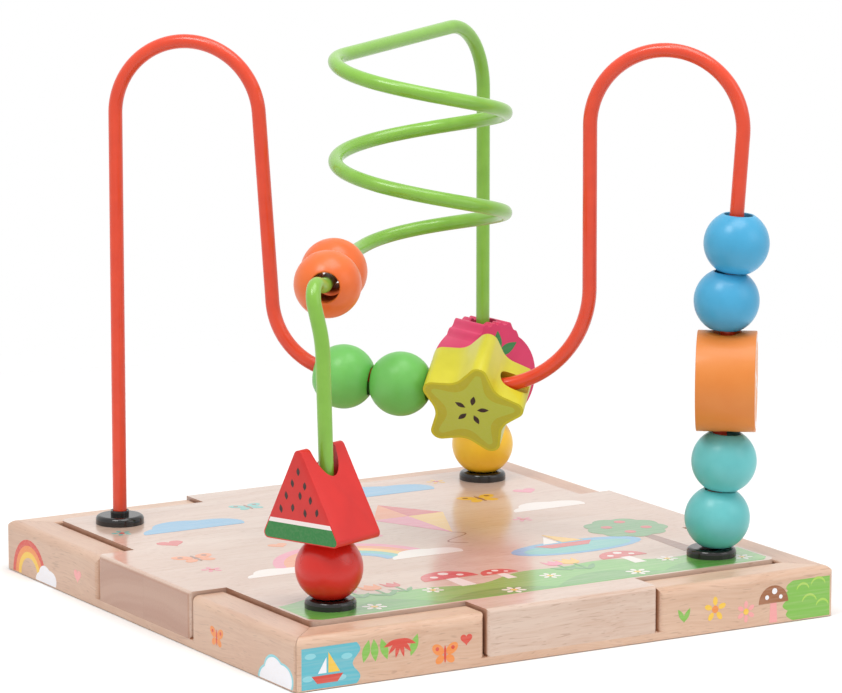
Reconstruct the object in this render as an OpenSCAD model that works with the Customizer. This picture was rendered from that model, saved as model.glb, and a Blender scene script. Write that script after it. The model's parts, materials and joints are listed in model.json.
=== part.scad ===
// Bead maze: a square wooden base with a tabbed play board, two bent wires and fourteen loose beads.
// The origin is the middle of the base's underside, +Z is up and the front rail faces -Y.

/* [Base] */
// Side of the square base
base_side = 234; // [220:1:260]
// Width of a rail, seen from above
rail_w = 14.5; // [13:0.5:17]
// Height of a rail
rail_h = 19.5; // [18:0.5:24]
// Rounding of a rail's outer top edge
rail_round = 3.5; // [1:0.5:5]
// Length of the notch in the middle of a rail
notch_len = 76; // [60:1:90]
// Wood left under a notch
notch_floor = 3; // [2.5:0.5:5]
// Rounding of a notch's corners
notch_round = 2.5; // [1.5:0.5:4]
// Height of the play board above the rails
board_proud = 1.3; // [0.5:0.1:3]
// Open gap round the play board
board_gap = 1; // [0.6:0.1:2]

/* [Feet] */
// Distance from the base's side to the middle of a wire foot
foot_inset = 33.3; // [30:0.1:45]
// Diameter of both coated wires
wire_d = 5.5; // [4.5:0.1:6]
// Depth to which a wire goes into the play board
seat_depth = 12; // [8:0.5:14]
// Diameter of a ferrule's flange
flange_d = 19; // [17:0.5:22]
// Height of a ferrule's flange
flange_h = 3.4; // [2.5:0.1:4.5]
// Height of the collar round the wire
collar_h = 5.2; // [4.6:0.1:7]
// Wall of a ferrule round the wire
ferrule_wall = 0.6; // [0.5:0.1:1.3]

/* [Red wire] */
// Bend radius of the left arch
left_arch_r = 29; // [24:0.5:34]
// Height of the left arch over the play board
left_arch_h = 191.3; // [170:0.1:210]
// Bend radius of the right arch
right_arch_r = 29.4; // [24:0.1:34]
// Height of the right arch over the play board
right_arch_h = 193.2; // [185:0.1:210]
// Distance of the right arch's middle from the right foot
right_arch_in = 19; // [16:0.5:26]
// Bend radius at the left end of the dip
left_bend_r = 28.5; // [27:0.5:30]
// Bend radius at the right end of the dip
right_bend_r = 39.6; // [37.6:0.1:41]
// Height of the dip's left end over the play board
dip_left_h = 64.4; // [62:0.1:68]
// Height of the dip's right end over the play board
dip_right_h = 61.9; // [60:0.1:66]

/* [Green wire] */
// Radius of the coil
coil_r = 32.5; // [28:0.5:38]
// Rise of the coil in one turn
coil_pitch = 38.6; // [34:0.1:42]
// Whole turns of the coil
coil_turns = 2; // [1:1:2]
// Height of the coil's upper end over the play board
coil_top_h = 187; // [175:0.5:200]
// Backward tilt of the coil, in degrees
coil_tilt = 2.8; // [0:0.1:5]
// Height of the front corner over the play board
front_corner_h = 120; // [112:0.5:126]
// Height of the back corner over the play board
back_corner_h = 190; // [178:0.5:205]
// Bend radius of the back corner
back_bend_r = 28; // [15:0.5:35]

/* [Beads] */
// Diameter of a ball
ball_d = 25; // [23:0.5:27]
// Diameter of the bores, apart from those of the wedge and the star
bore_d = 11; // [10:0.5:11.5]
// Diameter of the orange disc
disc_d = 38.5; // [34:0.5:42]
// Thickness of the orange disc
disc_t = 22.5; // [18:0.5:26]
// Radius of the star over its arms
star_r = 20.6; // [19.5:0.1:22]
// Thickness of the star
star_t = 22.5; // [18:0.5:26]
// Width of the melon wedge at its rind
wedge_w = 36; // [32:0.5:40]
// Height of the melon wedge
wedge_h = 34; // [30:0.5:38]
// Thickness of the melon wedge
wedge_t = 23; // [18:0.5:26]
// Diameter of the melon wedge's bore
wedge_bore_d = 13.5; // [11:0.5:14]
// Width of the crowned fruit
fruit_w = 38; // [34:0.5:42]
// Thickness of the crowned fruit
fruit_t = 21; // [18:0.5:26]
// Height of the fruit's crown over its round body
crown_h = 4; // [2:0.2:6]

/* [Hidden] */
$fn = 72;

// Overrun of every cut past the face that it opens
cut = 1;
// Clearance of a glued or screwed fit, and of a wire in its ferrule
glue_gap = 0.05;
wire_gap = 0.3;
// Clearance between beads, and of a wire in a bore that leans against it
bead_gap = 0.2;
slip = 0.3;
// Overrun of a bore past the ends of its bead
bore_cut = 3;

// Rails and play board
inner_round = 1;
corner_round = 1.5;
mitre_gap = 0.1;
tab_round = 1.5;
tab_edge_round = 1.6;
board_corner_r = 4;
half_side = base_side / 2;
board_top = rail_h + board_proud;
board_t = board_top - notch_floor;
board_side = base_side - 2 * (rail_w + board_gap);
tab_len = notch_len - 2 * board_gap;

// Dowels across the mitres and screws under the tabs
dowel_d = 5;
dowel_len = 12;
dowel_shares = [0.32, 0.68];
screw_d = 3;
screw_len = 14;
screw_head_d = 6;
screw_head_h = 1.6;
screw_share = 0.28;

// Feet and ferrules
foot = half_side - foot_inset;
foot_u = foot * sqrt(2);
flange_rim = 1.6;
ferrule_bore = wire_d + 2 * wire_gap;
stem_d = ferrule_bore + 2 * ferrule_wall;

// Red wire: bends in the upright plane through the left and right feet, where u runs to the right foot
dip_left_share = -0.228;
dip_right_share = 0.258;
foot_bend_r = 40;
red_bends = [
    [[-foot_u, -seat_depth], 0],
    [[-foot_u + left_arch_r, left_arch_h - left_arch_r], -left_arch_r],
    [[dip_left_share * foot_u, dip_left_h + left_bend_r], left_bend_r],
    [[dip_right_share * foot_u, dip_right_h + right_bend_r], right_bend_r],
    [[foot_u - right_arch_in, right_arch_h - right_arch_r], -right_arch_r],
    [[foot_u + foot_bend_r, collar_h], foot_bend_r],
    [[foot_u, -seat_depth], 0]
];
dip_run = 2;
right_leg = 4;
// Swell of a bent piece over a straight one, and the depth to which a straight piece runs into it
bend_swell = 0.02;
seam = 0.2;

// Green wire: places measured from the front foot, and the angles over which the coil starts and ends
knee_sway = [-2.2, 1.3];
knee_h = 98;
corner_sway = [-6.4, 3.7];
run_sway = [5.1, 13.3];
run_slope_share = 0.045;
knee_r = 60;
corner_r = 7;
run_r = 16;
tuck_r = 26.5;
tuck_angle = 120;
ease_top = 40;
ease_low = 30;
coil_centre = [3, -2];
ring_angle = 15;
ring_sides = 12;
lap = 2;
facet_share = 0.998;

// Beads
mouth = 0.4;
disc_round = 1.4;
star_bore_d = 8.6;
star_tip_r = 3.8;
star_valley_r = 8;
star_waist_r = 14.2;
star_turn = -18;
star_lean = 27;
star_tilt = 3;
star_drop = 4.8;
star_back = 3.6;
star_hang = -0.6;
star_steps = 8;
wedge_round = 2;
crown_shares = [
    [0.56, 0.66], [0.5, 0.81], [0.41, 0.82], [0.33, 1], [0.2, 0.9], [0.08, 1], [0, 0.92]
];
wedge_facing = 198;
disc_facing = -36.5;
fruit_facing = -86;
wedge_sway_share = 0.6;
leg_sway_shares = [1, 0.45, -0.55, 0.3];
run_hang_shares = [-0.4, 0.45];
view_left = 149;
star_gap = 1;
left_ball_gap = 0.6;
run_gap = 3.4;

// Half length of a ball, the free play of a bead on its wire or on a collar, and the star's reach to the left
ball_half = sqrt(pow(ball_d / 2, 2) - pow(bore_d / 2 + mouth, 2));
play = (bore_d - wire_d) / 2 - slip;
collar_play = max((bore_d - stem_d) / 2 - slip, 0);
wedge_play = (wedge_bore_d - wire_d) / 2 - slip;
sways = concat([collar_play], play * leg_sway_shares);
star_reach = max([for (i = [0:4]) -(star_r - star_tip_r) * cos(90 + star_turn + 72 * i)]) + star_tip_r;

// Signed bends: a positive radius turns left along the way, a negative one turns right
function heading(a, b) = atan2(b[0].y - a[0].y, b[0].x - a[0].x) + asin((a[1] - b[1]) / norm(b[0] - a[0]));
function touch(bend, angle) = bend[0] + bend[1] * [sin(angle), -cos(angle)];
function unit(v) = v / norm(v);
function clamp(x) = min(max(x, 0), 1);
function at_height(p, h) = [p.x, p.y, h];

red_headings = [for (i = [0:len(red_bends) - 2]) heading(red_bends[i], red_bends[i + 1])];
function red_start(i) = touch(red_bends[i], red_headings[i]);
function red_end(i) = touch(red_bends[i + 1], red_headings[i]);

// Places of the feet, the front leg's knee and corner, and the start of the run through the orange balls
front_foot = [-foot, -foot];
back_foot = [foot, foot];
front_knee = at_height(front_foot + knee_sway, knee_h);
front_corner = at_height(front_foot + corner_sway, front_corner_h);
run_start = front_foot + run_sway;
back_corner = at_height(back_foot, back_corner_h);

// Coil: its end angles are where straight runs from both legs touch it
function touch_angle(p, r, side) =
    let (v = p - coil_centre)
    atan2(v.y, v.x) + side * acos(r / norm(v));
coil_start = touch_angle(back_foot, coil_r, 1);
coil_sweep = 360 * (coil_turns + 1) + touch_angle(run_start, tuck_r, -1) - coil_start;
rise = coil_pitch / 360;

function coil_radius(t) =
    let (x = clamp((t - coil_sweep + tuck_angle) / tuck_angle))
    coil_r - (coil_r - tuck_r) * x * x * (3 - 2 * x);
function coil_height(t) =
    let (
        start = min(t, ease_top),
        last = max(t - coil_sweep + ease_low, 0),
        low_rise = rise + run_slope_share * tuck_r * PI / 180
    )
    coil_top_h - rise * (start * start / (2 * ease_top) + max(t - ease_top, 0))
    + low_rise * last * last / (2 * ease_low);
function coil_point(t) =
    let (
        a = coil_start + t,
        r = coil_radius(t),
        fade = clamp(min(t / ease_top, (coil_sweep - t) / ease_low)),
        lift = -tan(coil_tilt) * fade * r * (cos(a) + sin(a)) / sqrt(2)
    )
    at_height(coil_centre + r * [cos(a), sin(a)], coil_height(t) + lift);

coil_low = coil_point(coil_sweep);
run_end = at_height(run_start, coil_low.z + run_slope_share * norm(run_start - [coil_low.x, coil_low.y]));

// Points on a corner at b that is rounded with radius r
function corner_points(a, b, c, r, count) =
    let (
        u = unit(a - b),
        v = unit(c - b),
        half = acos(u * v) / 2,
        middle = b + unit(u + v) * r / sin(half),
        p = b + u * r / tan(half) - middle,
        q = b + v * r / tan(half) - middle,
        sweep = 180 - 2 * half
    )
    [
        for (i = [0:count])
            middle + (p * sin((1 - i / count) * sweep) + q * sin(i / count * sweep)) / sin(sweep)
    ];

// Leaning front leg, from the bottom of its seat to the knee
front_seat = at_height(front_foot, (collar_h - seat_depth) / 2);
front_up = unit(front_knee - front_seat);
function on_front_leg(h) = front_seat + front_up * (h - front_seat.z) / front_up.z;

coil_rings = ceil(coil_sweep / ring_angle);
coil_points = [for (i = [0:coil_rings]) coil_point(coil_sweep * (1 - i / coil_rings))];
knee_bend = corner_points(front_seat, front_knee, front_corner, knee_r, 3);
back_bend = corner_points(coil_point(0), back_corner, at_height(back_foot, 0), back_bend_r, 8);
green_route = concat(
    [knee_bend[0] - front_up * lap],
    knee_bend,
    corner_points(front_knee, front_corner, run_end, corner_r, 8),
    corner_points(front_corner, run_end, coil_low, run_r, 3),
    coil_points,
    back_bend,
    [back_bend[len(back_bend) - 1] - [0, 0, lap]]
);

// Least gap between the turns of the coil, measured on its points
half_turn = round(180 / ring_angle);
coil_gap = min([
    for (i = [0:coil_rings])
        for (j = [i + half_turn:1:coil_rings]) norm(coil_points[i] - coil_points[j])
]) - wire_d;
echo(coil_gap = coil_gap);

// Direction and side vector at each point of a route
function route_directions(p) =
    let (last = len(p) - 1)
    [for (i = [0:last]) unit(p[min(i + 1, last)] - p[max(i - 1, 0)])];
function square_to(v, d) = unit(v - (v * d) * d);
function side_vectors(d) = [
    for (
        i = 0, s = square_to([1, 0, 0], d[0]);
        i < len(d);
        i = i + 1, s = i < len(d) ? square_to(s, d[i]) : s
    )
        s
];

// Round rod swept along a route
module swept_rod(route, r, sides) {
    d = route_directions(route);
    s = side_vectors(d);
    rings = len(route);
    points = [
        for (i = [0:rings - 1])
            for (j = [0:sides - 1])
                route[i] + r * (cos(360 * j / sides) * s[i] + sin(360 * j / sides) * cross(d[i], s[i]))
    ];
    walls = [
        for (i = [0:rings - 2])
            for (j = [0:sides - 1])
                let (a = i * sides, b = a + sides, k = (j + 1) % sides)
                each [[a + j, b + j, b + k], [a + j, b + k, a + k]]
    ];
    caps = [[for (j = [0:sides - 1]) j], [for (j = [sides - 1:-1:0]) (rings - 1) * sides + j]];
    polyhedron(points = points, faces = concat(walls, caps), convexity = 10);
}

// Outside corner cutter of a quarter round, in the first quadrant
module round_cutter(r) {
    difference() {
        square(r + cut);
        circle(r);
    }
}

// Section of a rail: x runs inwards from its outer face, y runs up
module rail_section() {
    difference() {
        square([rail_w, rail_h]);
        translate([rail_round, rail_h - rail_round]) mirror([1, 0]) round_cutter(rail_round);
        translate([rail_w - inner_round, rail_h - inner_round]) round_cutter(inner_round);
    }
}

// Opening of a notch, or the end of a tab, seen from outside: wide at the top, round at the lower corners
module slot_outline(length, floor_h, top_h, r) {
    translate([-length / 2 + r, floor_h]) square([length - 2 * r, top_h - floor_h]);
    translate([-length / 2, floor_h + r]) square([length, top_h - floor_h - r]);
    for (side = [-1, 1])
        translate([side * (length / 2 - r), floor_h + r]) circle(r);
}

// Both screws of each tab, drawn by the children at the front tab
module at_tab_screws() {
    for (side = [0:3])
        rotate([0, 0, 90 * side])
            for (end = [-1, 1])
                translate([end * screw_share * tab_len, -half_side + rail_w / 2, 0]) children();
}

module screw_shape(gap) {
    cylinder(h = screw_len, d = screw_d + 2 * gap);
    cylinder(h = screw_head_h + gap, d1 = screw_head_d + 2 * gap, d2 = screw_d + 2 * gap);
}

// Dowels that cross the mitres at right angles, two to a corner
module dowel_shapes(gap) {
    for (corner = [0:3])
        rotate([0, 0, 90 * corner])
            for (share = dowel_shares)
                translate([half_side - rail_w / 2, -half_side + rail_w / 2, share * rail_h])
                    rotate([90, 0, -45])
                        cylinder(h = dowel_len + 2 * gap, d = dowel_d + 2 * gap, center = true);
}

// Front rail; the others are turned copies
module rail() {
    difference() {
        intersection() {
            translate([-half_side, -half_side, 0]) rotate([90, 0, 90])
                linear_extrude(base_side) rail_section();
            linear_extrude(rail_h)
                polygon([
                    [-half_side + mitre_gap, -half_side],
                    [half_side - mitre_gap, -half_side],
                    [half_side - rail_w - mitre_gap, -half_side + rail_w],
                    [-half_side + rail_w + mitre_gap, -half_side + rail_w]
                ]);
        }
        translate([0, -half_side + rail_w + cut, 0]) rotate([90, 0, 0])
            linear_extrude(rail_w + 2 * cut) slot_outline(notch_len, notch_floor, rail_h + cut, notch_round);
        for (m = [0, 1])
            mirror([m, 0, 0]) {
                translate([notch_len / 2 + notch_round, -half_side + notch_round, notch_floor])
                    rotate([0, 0, 180]) linear_extrude(rail_h) round_cutter(notch_round);
                translate([half_side - corner_round, -half_side + corner_round, -cut])
                    rotate([0, 0, -90]) linear_extrude(rail_h + 2 * cut) round_cutter(corner_round);
            }
        dowel_shapes(glue_gap);
        at_tab_screws() screw_shape(glue_gap);
    }
}

module front_rail() {
    color("burlywood") rail();
}

module right_rail() {
    color("burlywood") rotate([0, 0, 90]) rail();
}

module back_rail() {
    color("burlywood") rotate([0, 0, 180]) rail();
}

module left_rail() {
    color("burlywood") rotate([0, 0, 270]) rail();
}

// Tab at the front of the play board, with eased outer edges
module tab() {
    depth = half_side - board_side / 2 + board_corner_r;
    difference() {
        translate([0, -half_side + depth, 0]) rotate([90, 0, 0])
            linear_extrude(depth) slot_outline(tab_len, notch_floor, board_top, tab_round);
        translate([-tab_len, -half_side + tab_edge_round, board_top - tab_edge_round])
            rotate([90, 0, 90]) linear_extrude(2 * tab_len) mirror([1, 0]) round_cutter(tab_edge_round);
        for (m = [0, 1])
            mirror([m, 0, 0])
                translate([tab_len / 2 - tab_edge_round, -half_side + tab_edge_round, 0])
                    rotate([0, 0, -90]) linear_extrude(board_top + cut) round_cutter(tab_edge_round);
    }
}

module play_board() {
    inner = board_side - 2 * board_corner_r;
    color("bisque")
        difference() {
            union() {
                translate([0, 0, notch_floor]) linear_extrude(board_t) {
                    square([board_side, inner], center = true);
                    square([inner, board_side], center = true);
                    for (x = [-1, 1])
                        for (y = [-1, 1])
                            translate([x * inner / 2, y * inner / 2]) circle(board_corner_r);
                }
                for (side = [0:3])
                    rotate([0, 0, 90 * side]) tab();
            }
            for (corner = [0:3])
                rotate([0, 0, 90 * corner])
                    translate([foot, foot, board_top - seat_depth])
                        cylinder(h = seat_depth + cut, d = stem_d + 2 * glue_gap);
            at_tab_screws() screw_shape(glue_gap);
        }
}

module corner_dowels() {
    color("tan") dowel_shapes(0);
}

module tab_screws() {
    color("silver") at_tab_screws() screw_shape(0);
}

// Black plastic bush with a round-edged flange, which holds a wire's end in the play board
module ferrule(x, y) {
    color("#2a2522")
        translate([x * foot, y * foot, board_top])
            difference() {
                rotate_extrude() {
                    translate([0, -seat_depth]) square([stem_d / 2, seat_depth + collar_h]);
                    square([flange_d / 2 - flange_rim, flange_h]);
                    square([flange_d / 2, flange_h - flange_rim]);
                    translate([flange_d / 2 - flange_rim, flange_h - flange_rim]) circle(flange_rim);
                }
                translate([0, 0, -seat_depth - cut])
                    cylinder(h = seat_depth + collar_h + 2 * cut, d = ferrule_bore);
            }
}

module front_ferrule() {
    ferrule(-1, -1);
}

module right_ferrule() {
    ferrule(1, -1);
}

module back_ferrule() {
    ferrule(1, 1);
}

module left_ferrule() {
    ferrule(-1, 1);
}

// Upright plane through the left and right feet: x runs to the right foot, z up from the play board
module in_red_plane() {
    translate([0, 0, board_top]) rotate([0, 0, -45]) children();
}

module red_wire() {
    color("#e8583a")
        in_red_plane() {
            for (i = [0:len(red_headings) - 1]) {
                p = red_start(i);
                before = i > 0 ? seam : 0;
                after = i < len(red_headings) - 1 ? seam : 0;
                translate([p.x, 0, p.y]) rotate([0, 90 - red_headings[i], 0]) translate([0, 0, -before])
                    cylinder(h = norm(red_end(i) - p) + before + after, d = wire_d);
            }
            for (i = [1:len(red_bends) - 2]) {
                bend = red_bends[i];
                turn = red_headings[i] - red_headings[i - 1];
                start = bend[1] > 0 ? red_headings[i - 1] - 90 : red_headings[i] + 90;
                translate([bend[0].x, 0, bend[0].y]) rotate([90, 0, 0]) rotate([0, 0, start])
                    rotate_extrude(angle = abs(turn))
                        translate([abs(bend[1]), 0]) circle(d = wire_d + bend_swell);
            }
        }
}

// Stands a shape on an axis through p along the direction d
module on_axis(p, d) {
    translate(p) rotate([0, acos(d.z / norm(d)), atan2(d.y, d.x)]) children();
}

module green_wire() {
    bottom = on_front_leg(wire_d / 2 * norm([front_up.x, front_up.y]) - seat_depth);
    color("#7cbf48")
        translate([0, 0, board_top]) {
            on_axis(bottom, front_up) cylinder(h = norm(knee_bend[0] - bottom), d = wire_d);
            swept_rod(green_route, wire_d / 2 * facet_share, ring_sides);
            translate(at_height(back_foot, -seat_depth))
                cylinder(h = back_bend[len(back_bend) - 1].z + seat_depth, d = wire_d);
        }
}

// Bore along Z through a bead, with eased mouths at the heights low and high
module bead_bore(low, high) {
    translate([0, 0, low - bore_cut]) cylinder(h = high - low + 2 * bore_cut, d = bore_d);
    translate([0, 0, high - mouth]) cylinder(h = mouth + cut, d1 = bore_d, d2 = bore_d + 2 * (mouth + cut));
    translate([0, 0, low - cut]) cylinder(h = mouth + cut, d1 = bore_d + 2 * (mouth + cut), d2 = bore_d);
}

module ball(paint) {
    color(paint)
        difference() {
            sphere(d = ball_d);
            bead_bore(-ball_half, ball_half);
        }
}

// Right leg of the red wire: its lean, and heights of the beads along it from the play board
leg_lean = red_headings[right_leg] + 90;
leg_foot = red_end(right_leg);
leg_tilt = (bore_d / 2 + mouth) * sin(abs(leg_lean));
leg_lift = flange_h + bead_gap + leg_tilt;
disc_half = disc_d / 2;
leg_places = [
    leg_lift + ball_half,
    leg_lift + 3 * ball_half + bead_gap,
    leg_lift + 4 * ball_half + disc_half + 2 * bead_gap + leg_tilt,
    leg_lift + 5 * ball_half + 2 * disc_half + 3 * bead_gap + 2 * leg_tilt,
    leg_lift + 7 * ball_half + 2 * disc_half + 4 * bead_gap + 2 * leg_tilt
];

module on_right_leg(i) {
    in_red_plane()
        translate([leg_foot.x, 0, leg_foot.y]) rotate([0, -leg_lean, 0])
            translate([sways[i], 0, leg_places[i] - leg_foot.y / cos(leg_lean)]) children();
}

module turquoise_ball_lower() {
    on_right_leg(0) ball("#5fc4b4");
}

module turquoise_ball_upper() {
    on_right_leg(1) ball("#5fc4b4");
}

// Thick disc, threaded across its diameter, which stands upright on the leaning leg
module orange_disc() {
    color("#ed9549")
        on_right_leg(2) rotate([0, leg_lean, 0])
            difference() {
                rotate([0, 90, disc_facing + 45])
                    rotate_extrude() {
                        translate([0, -disc_t / 2]) square([disc_half - disc_round, disc_t]);
                        translate([0, -disc_t / 2 + disc_round]) square([disc_half, disc_t - 2 * disc_round]);
                        for (side = [-1, 1])
                            translate([disc_half - disc_round, side * (disc_t / 2 - disc_round)])
                                circle(disc_round);
                    }
                bead_bore(-disc_half, disc_half);
            }
}

module blue_ball_lower() {
    on_right_leg(3) ball("#45a3d8");
}

module blue_ball_upper() {
    on_right_leg(4) ball("#45a3d8");
}

// Beads on the front leg
front_lift = flange_h + bead_gap;

module on_front_leg_at(h, sway) {
    on_axis(on_front_leg(h) + [0, 0, board_top] + sway * [cos(view_left), sin(view_left), 0], front_up)
        rotate([0, 0, -atan2(front_up.y, front_up.x)]) children();
}

module red_ball() {
    on_front_leg_at(front_lift + ball_half, 0) ball("#d8372b");
}

// Outline through corner circles of one radius, in anticlockwise order
module rounded_polygon(centres, r) {
    count = len(centres);
    polygon([
        for (i = [0:count - 1])
            let (
                a = centres[i],
                b = centres[(i + 1) % count],
                out = r * [unit(b - a).y, -unit(b - a).x]
            )
            each [a + out, b + out]
    ]);
    for (c = centres)
        translate(c) circle(r);
}

// Wedge of melon, threaded from the rind to the ridge
module melon_wedge() {
    color("#da3a33")
        on_front_leg_at(front_lift + 2 * ball_half + bead_gap, wedge_sway_share * wedge_play)
            difference() {
                rotate([90, 0, wedge_facing + 90])
                    linear_extrude(wedge_t, center = true)
                        rounded_polygon([
                            [-wedge_w / 2 + wedge_round, wedge_round],
                            [wedge_w / 2 - wedge_round, wedge_round],
                            [0, wedge_h - wedge_round]
                        ], wedge_round);
                translate([0, 0, -cut]) cylinder(h = wedge_h + 2 * cut, d = wedge_bore_d);
            }
}

// Beads on the back leg
module on_back_leg(h) {
    translate(at_height(back_foot, board_top + h)) children();
}

module yellow_ball() {
    on_back_leg(front_lift + ball_half) ball("#ebb93e");
}

// Round fruit with a toothed crown; its underside is flat where it sits on the ball
module crowned_fruit() {
    r = fruit_w / 2;
    flat = sqrt(r * r - pow(bore_d / 2 + mouth, 2));
    last = len(crown_shares) - 1;
    crown = [for (share = crown_shares) [share.x * r, share.y * (r + crown_h)]];
    color("#dc4468")
        on_back_leg(front_lift + 2 * ball_half + bead_gap + flat)
            difference() {
                rotate([90, 0, fruit_facing + 90])
                    linear_extrude(fruit_t, center = true)
                        difference() {
                            union() {
                                circle(r);
                                polygon(concat(
                                    crown,
                                    [for (i = [last - 1:-1:0]) [-crown[i].x, crown[i].y]],
                                    [[0, 0]]
                                ));
                            }
                            translate([-r, -flat - r]) square([2 * r, r]);
                        }
                translate([0, 0, -r]) cylinder(h = 2 * r + crown_h + cut, d = bore_d);
            }
}

// Balls on the straight run behind the front corner; the front one hangs, and the rear one rides up on it
run_d = unit(coil_low - run_end);
run_lift = run_gap + ball_half;

module on_run(i) {
    along = run_lift + i * (2 * ball_half + bead_gap);
    on_axis(run_end + [0, 0, board_top + run_hang_shares[i] * play] + run_d * along, run_d) children();
}

module orange_ball_front() {
    on_run(0) ball("#ee7b3e");
}

module orange_ball_rear() {
    on_run(1) ball("#ee7b3e");
}

// Beads on the dip, from the star at its right end; the left ball hangs where the wire starts to rise
dip_d = unit(red_end(dip_run) - red_start(dip_run));
star_place = red_end(dip_run) - star_back * dip_d - [0, star_hang];
right_ball_place = red_end(dip_run) - (star_back + star_reach + star_gap + ball_half) * dip_d - [0, play];

// Height of the wire over the play board left of the star, and the lean of a ball that hangs there
left_bend = red_bends[dip_run];
function wire_h(u) =
    let (start = red_start(dip_run), away = min(abs(u - left_bend[0].x), left_bend[1]))
    u > start.x
        ? start.y + (u - start.x) * tan(red_headings[dip_run])
        : left_bend[0].y - sqrt(pow(left_bend[1], 2) - pow(away, 2));
function ball_lean(u) = atan((wire_h(u - ball_half) - wire_h(u + ball_half)) / (2 * ball_half));
left_ball_near = right_ball_place.x - 2 * ball_half - left_ball_gap;
left_ball_u = left_ball_near + ball_half - ball_half / cos(ball_lean(left_ball_near));
left_ball_tilt = ball_lean(left_ball_u);
left_ball_h = (wire_h(left_ball_u - ball_half) + wire_h(left_ball_u + ball_half)) / 2 - play;
left_ball_place = [left_ball_u, left_ball_h];

module on_dip(p, tilt) {
    in_red_plane()
        translate([p.x, 0, p.y]) rotate([0, tilt, 0]) children();
}

module green_ball_left() {
    on_dip(left_ball_place, left_ball_tilt) rotate([0, 90, 0]) ball("#6dbb5a");
}

module green_ball_right() {
    on_dip(right_ball_place, -red_headings[dip_run]) rotate([0, 90, 0]) ball("#6dbb5a");
}

// Five round arms with round valleys between them, joined by straight flanks
module star_outline() {
    rounds = [
        for (i = [0:9])
            let (a = 90 + star_turn + 36 * i)
            i % 2 == 0
                ? [(star_r - star_tip_r) * [cos(a), sin(a)], star_tip_r]
                : [(star_waist_r + star_valley_r) * [cos(a), sin(a)], -star_valley_r]
    ];
    headings = [for (i = [0:9]) heading(rounds[i], rounds[(i + 1) % 10])];
    polygon([
        for (i = [0:9])
            let (
                start = headings[(i + 9) % 10],
                turn = headings[i] - start,
                sweep = turn - 360 * round(turn / 360)
            )
            for (k = [0:star_steps]) touch(rounds[i], start + sweep * k / star_steps)
    ]);
}

// Thick star, threaded across two arms above its middle and leaning on the wire
module yellow_star() {
    color("#d8d24c")
        on_dip(star_place, -star_tilt)
            difference() {
                rotate([star_lean, 0, 0]) translate([0, 0, -star_drop])
                    rotate([90, 0, 0]) linear_extrude(star_t, center = true) star_outline();
                rotate([0, 90, 0]) cylinder(h = 2 * star_r + 2 * cut, d = star_bore_d, center = true);
            }
}

front_rail();
right_rail();
back_rail();
left_rail();
play_board();
corner_dowels();
tab_screws();
front_ferrule();
right_ferrule();
back_ferrule();
left_ferrule();
red_wire();
green_wire();
turquoise_ball_lower();
turquoise_ball_upper();
orange_disc();
blue_ball_lower();
blue_ball_upper();
red_ball();
melon_wedge();
yellow_ball();
crowned_fruit();
orange_ball_front();
orange_ball_rear();
green_ball_left();
green_ball_right();
yellow_star();
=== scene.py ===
# %% [markdown]
# # A wooden bead maze
# The maze is a square base of pale rubberwood rails round a lacquered play board, with two powder-coated
# wires and fourteen painted beads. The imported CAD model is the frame: it gives every place and every joint.
# This script dresses that frame, piece by piece, with finer meshes and with materials made from nodes.

# %% Load the frame
import bmesh
import bpy
import json
import math
from mathutils import Matrix, Vector


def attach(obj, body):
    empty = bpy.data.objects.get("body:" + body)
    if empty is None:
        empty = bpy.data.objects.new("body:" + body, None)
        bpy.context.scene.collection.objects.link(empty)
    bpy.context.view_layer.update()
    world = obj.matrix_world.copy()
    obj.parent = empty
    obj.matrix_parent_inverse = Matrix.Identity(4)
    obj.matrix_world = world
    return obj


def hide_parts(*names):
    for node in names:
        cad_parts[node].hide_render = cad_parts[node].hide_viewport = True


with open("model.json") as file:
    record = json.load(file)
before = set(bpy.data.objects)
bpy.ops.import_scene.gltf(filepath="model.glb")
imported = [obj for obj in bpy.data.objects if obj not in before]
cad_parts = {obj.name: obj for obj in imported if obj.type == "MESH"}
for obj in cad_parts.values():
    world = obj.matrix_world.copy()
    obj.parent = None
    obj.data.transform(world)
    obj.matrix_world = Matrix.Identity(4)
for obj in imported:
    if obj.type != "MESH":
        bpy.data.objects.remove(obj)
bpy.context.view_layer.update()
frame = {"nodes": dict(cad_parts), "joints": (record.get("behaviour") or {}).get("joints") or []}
joints = {joint["child"]: joint for joint in frame["joints"]}

# %% [markdown]
# ## Units and small helpers
# CAD sizes are easiest to read in millimetres, and Blender works in metres, so one constant turns one into
# the other. Two matrices come up all the time: a turn about Z, and the turn that stands Z along a wire.

# %% Units and frames
MM = 0.001
BOARD_TOP = 20.8
HALF_SIDE = 117.0
FOOT = 83.7
WIRE_R = 2.75


def turn(degrees, axis):
    return Matrix.Rotation(math.radians(degrees), 4, axis)


def stand_along(direction):
    return Vector((0, 0, 1)).rotation_difference(Vector(direction)).to_matrix().to_4x4()


def bead_place(body):
    """The middle of a bead, in mm, and the direction of its wire, both from the bead's joint."""
    joint = joints[body]
    return Vector(joint["pos_m"]) / MM, Vector(joint["axis"]).normalized()


print("beads with a joint:", len(joints))

# %% [markdown]
# ## Meshes
# Each mesh is written in millimetres in the row's frame and scaled once, so every object sits at the origin
# and its object coordinates are the row's coordinates. The textures below rely on that. Edges sharper than
# 35 degrees stay sharp, and the rest is smooth.

# %% Mesh helper
SHARP = math.radians(35)


def write_mesh(name, verts, faces, place):
    mesh = bpy.data.meshes.new(name)
    mesh.from_pydata([(place @ Vector(v)) * MM for v in verts], [], faces)
    return mesh


def face_outwards(mesh):
    shell = bmesh.new()
    shell.from_mesh(mesh)
    bmesh.ops.recalc_face_normals(shell, faces=shell.faces)
    shell.to_mesh(mesh)
    shell.free()


def make_piece(name, verts, faces, body, slot, material, matrix=None):
    mesh = write_mesh(name, verts, faces, matrix or Matrix.Identity(4))
    mesh.validate()
    return show_mesh(name, mesh, body, material)


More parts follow.
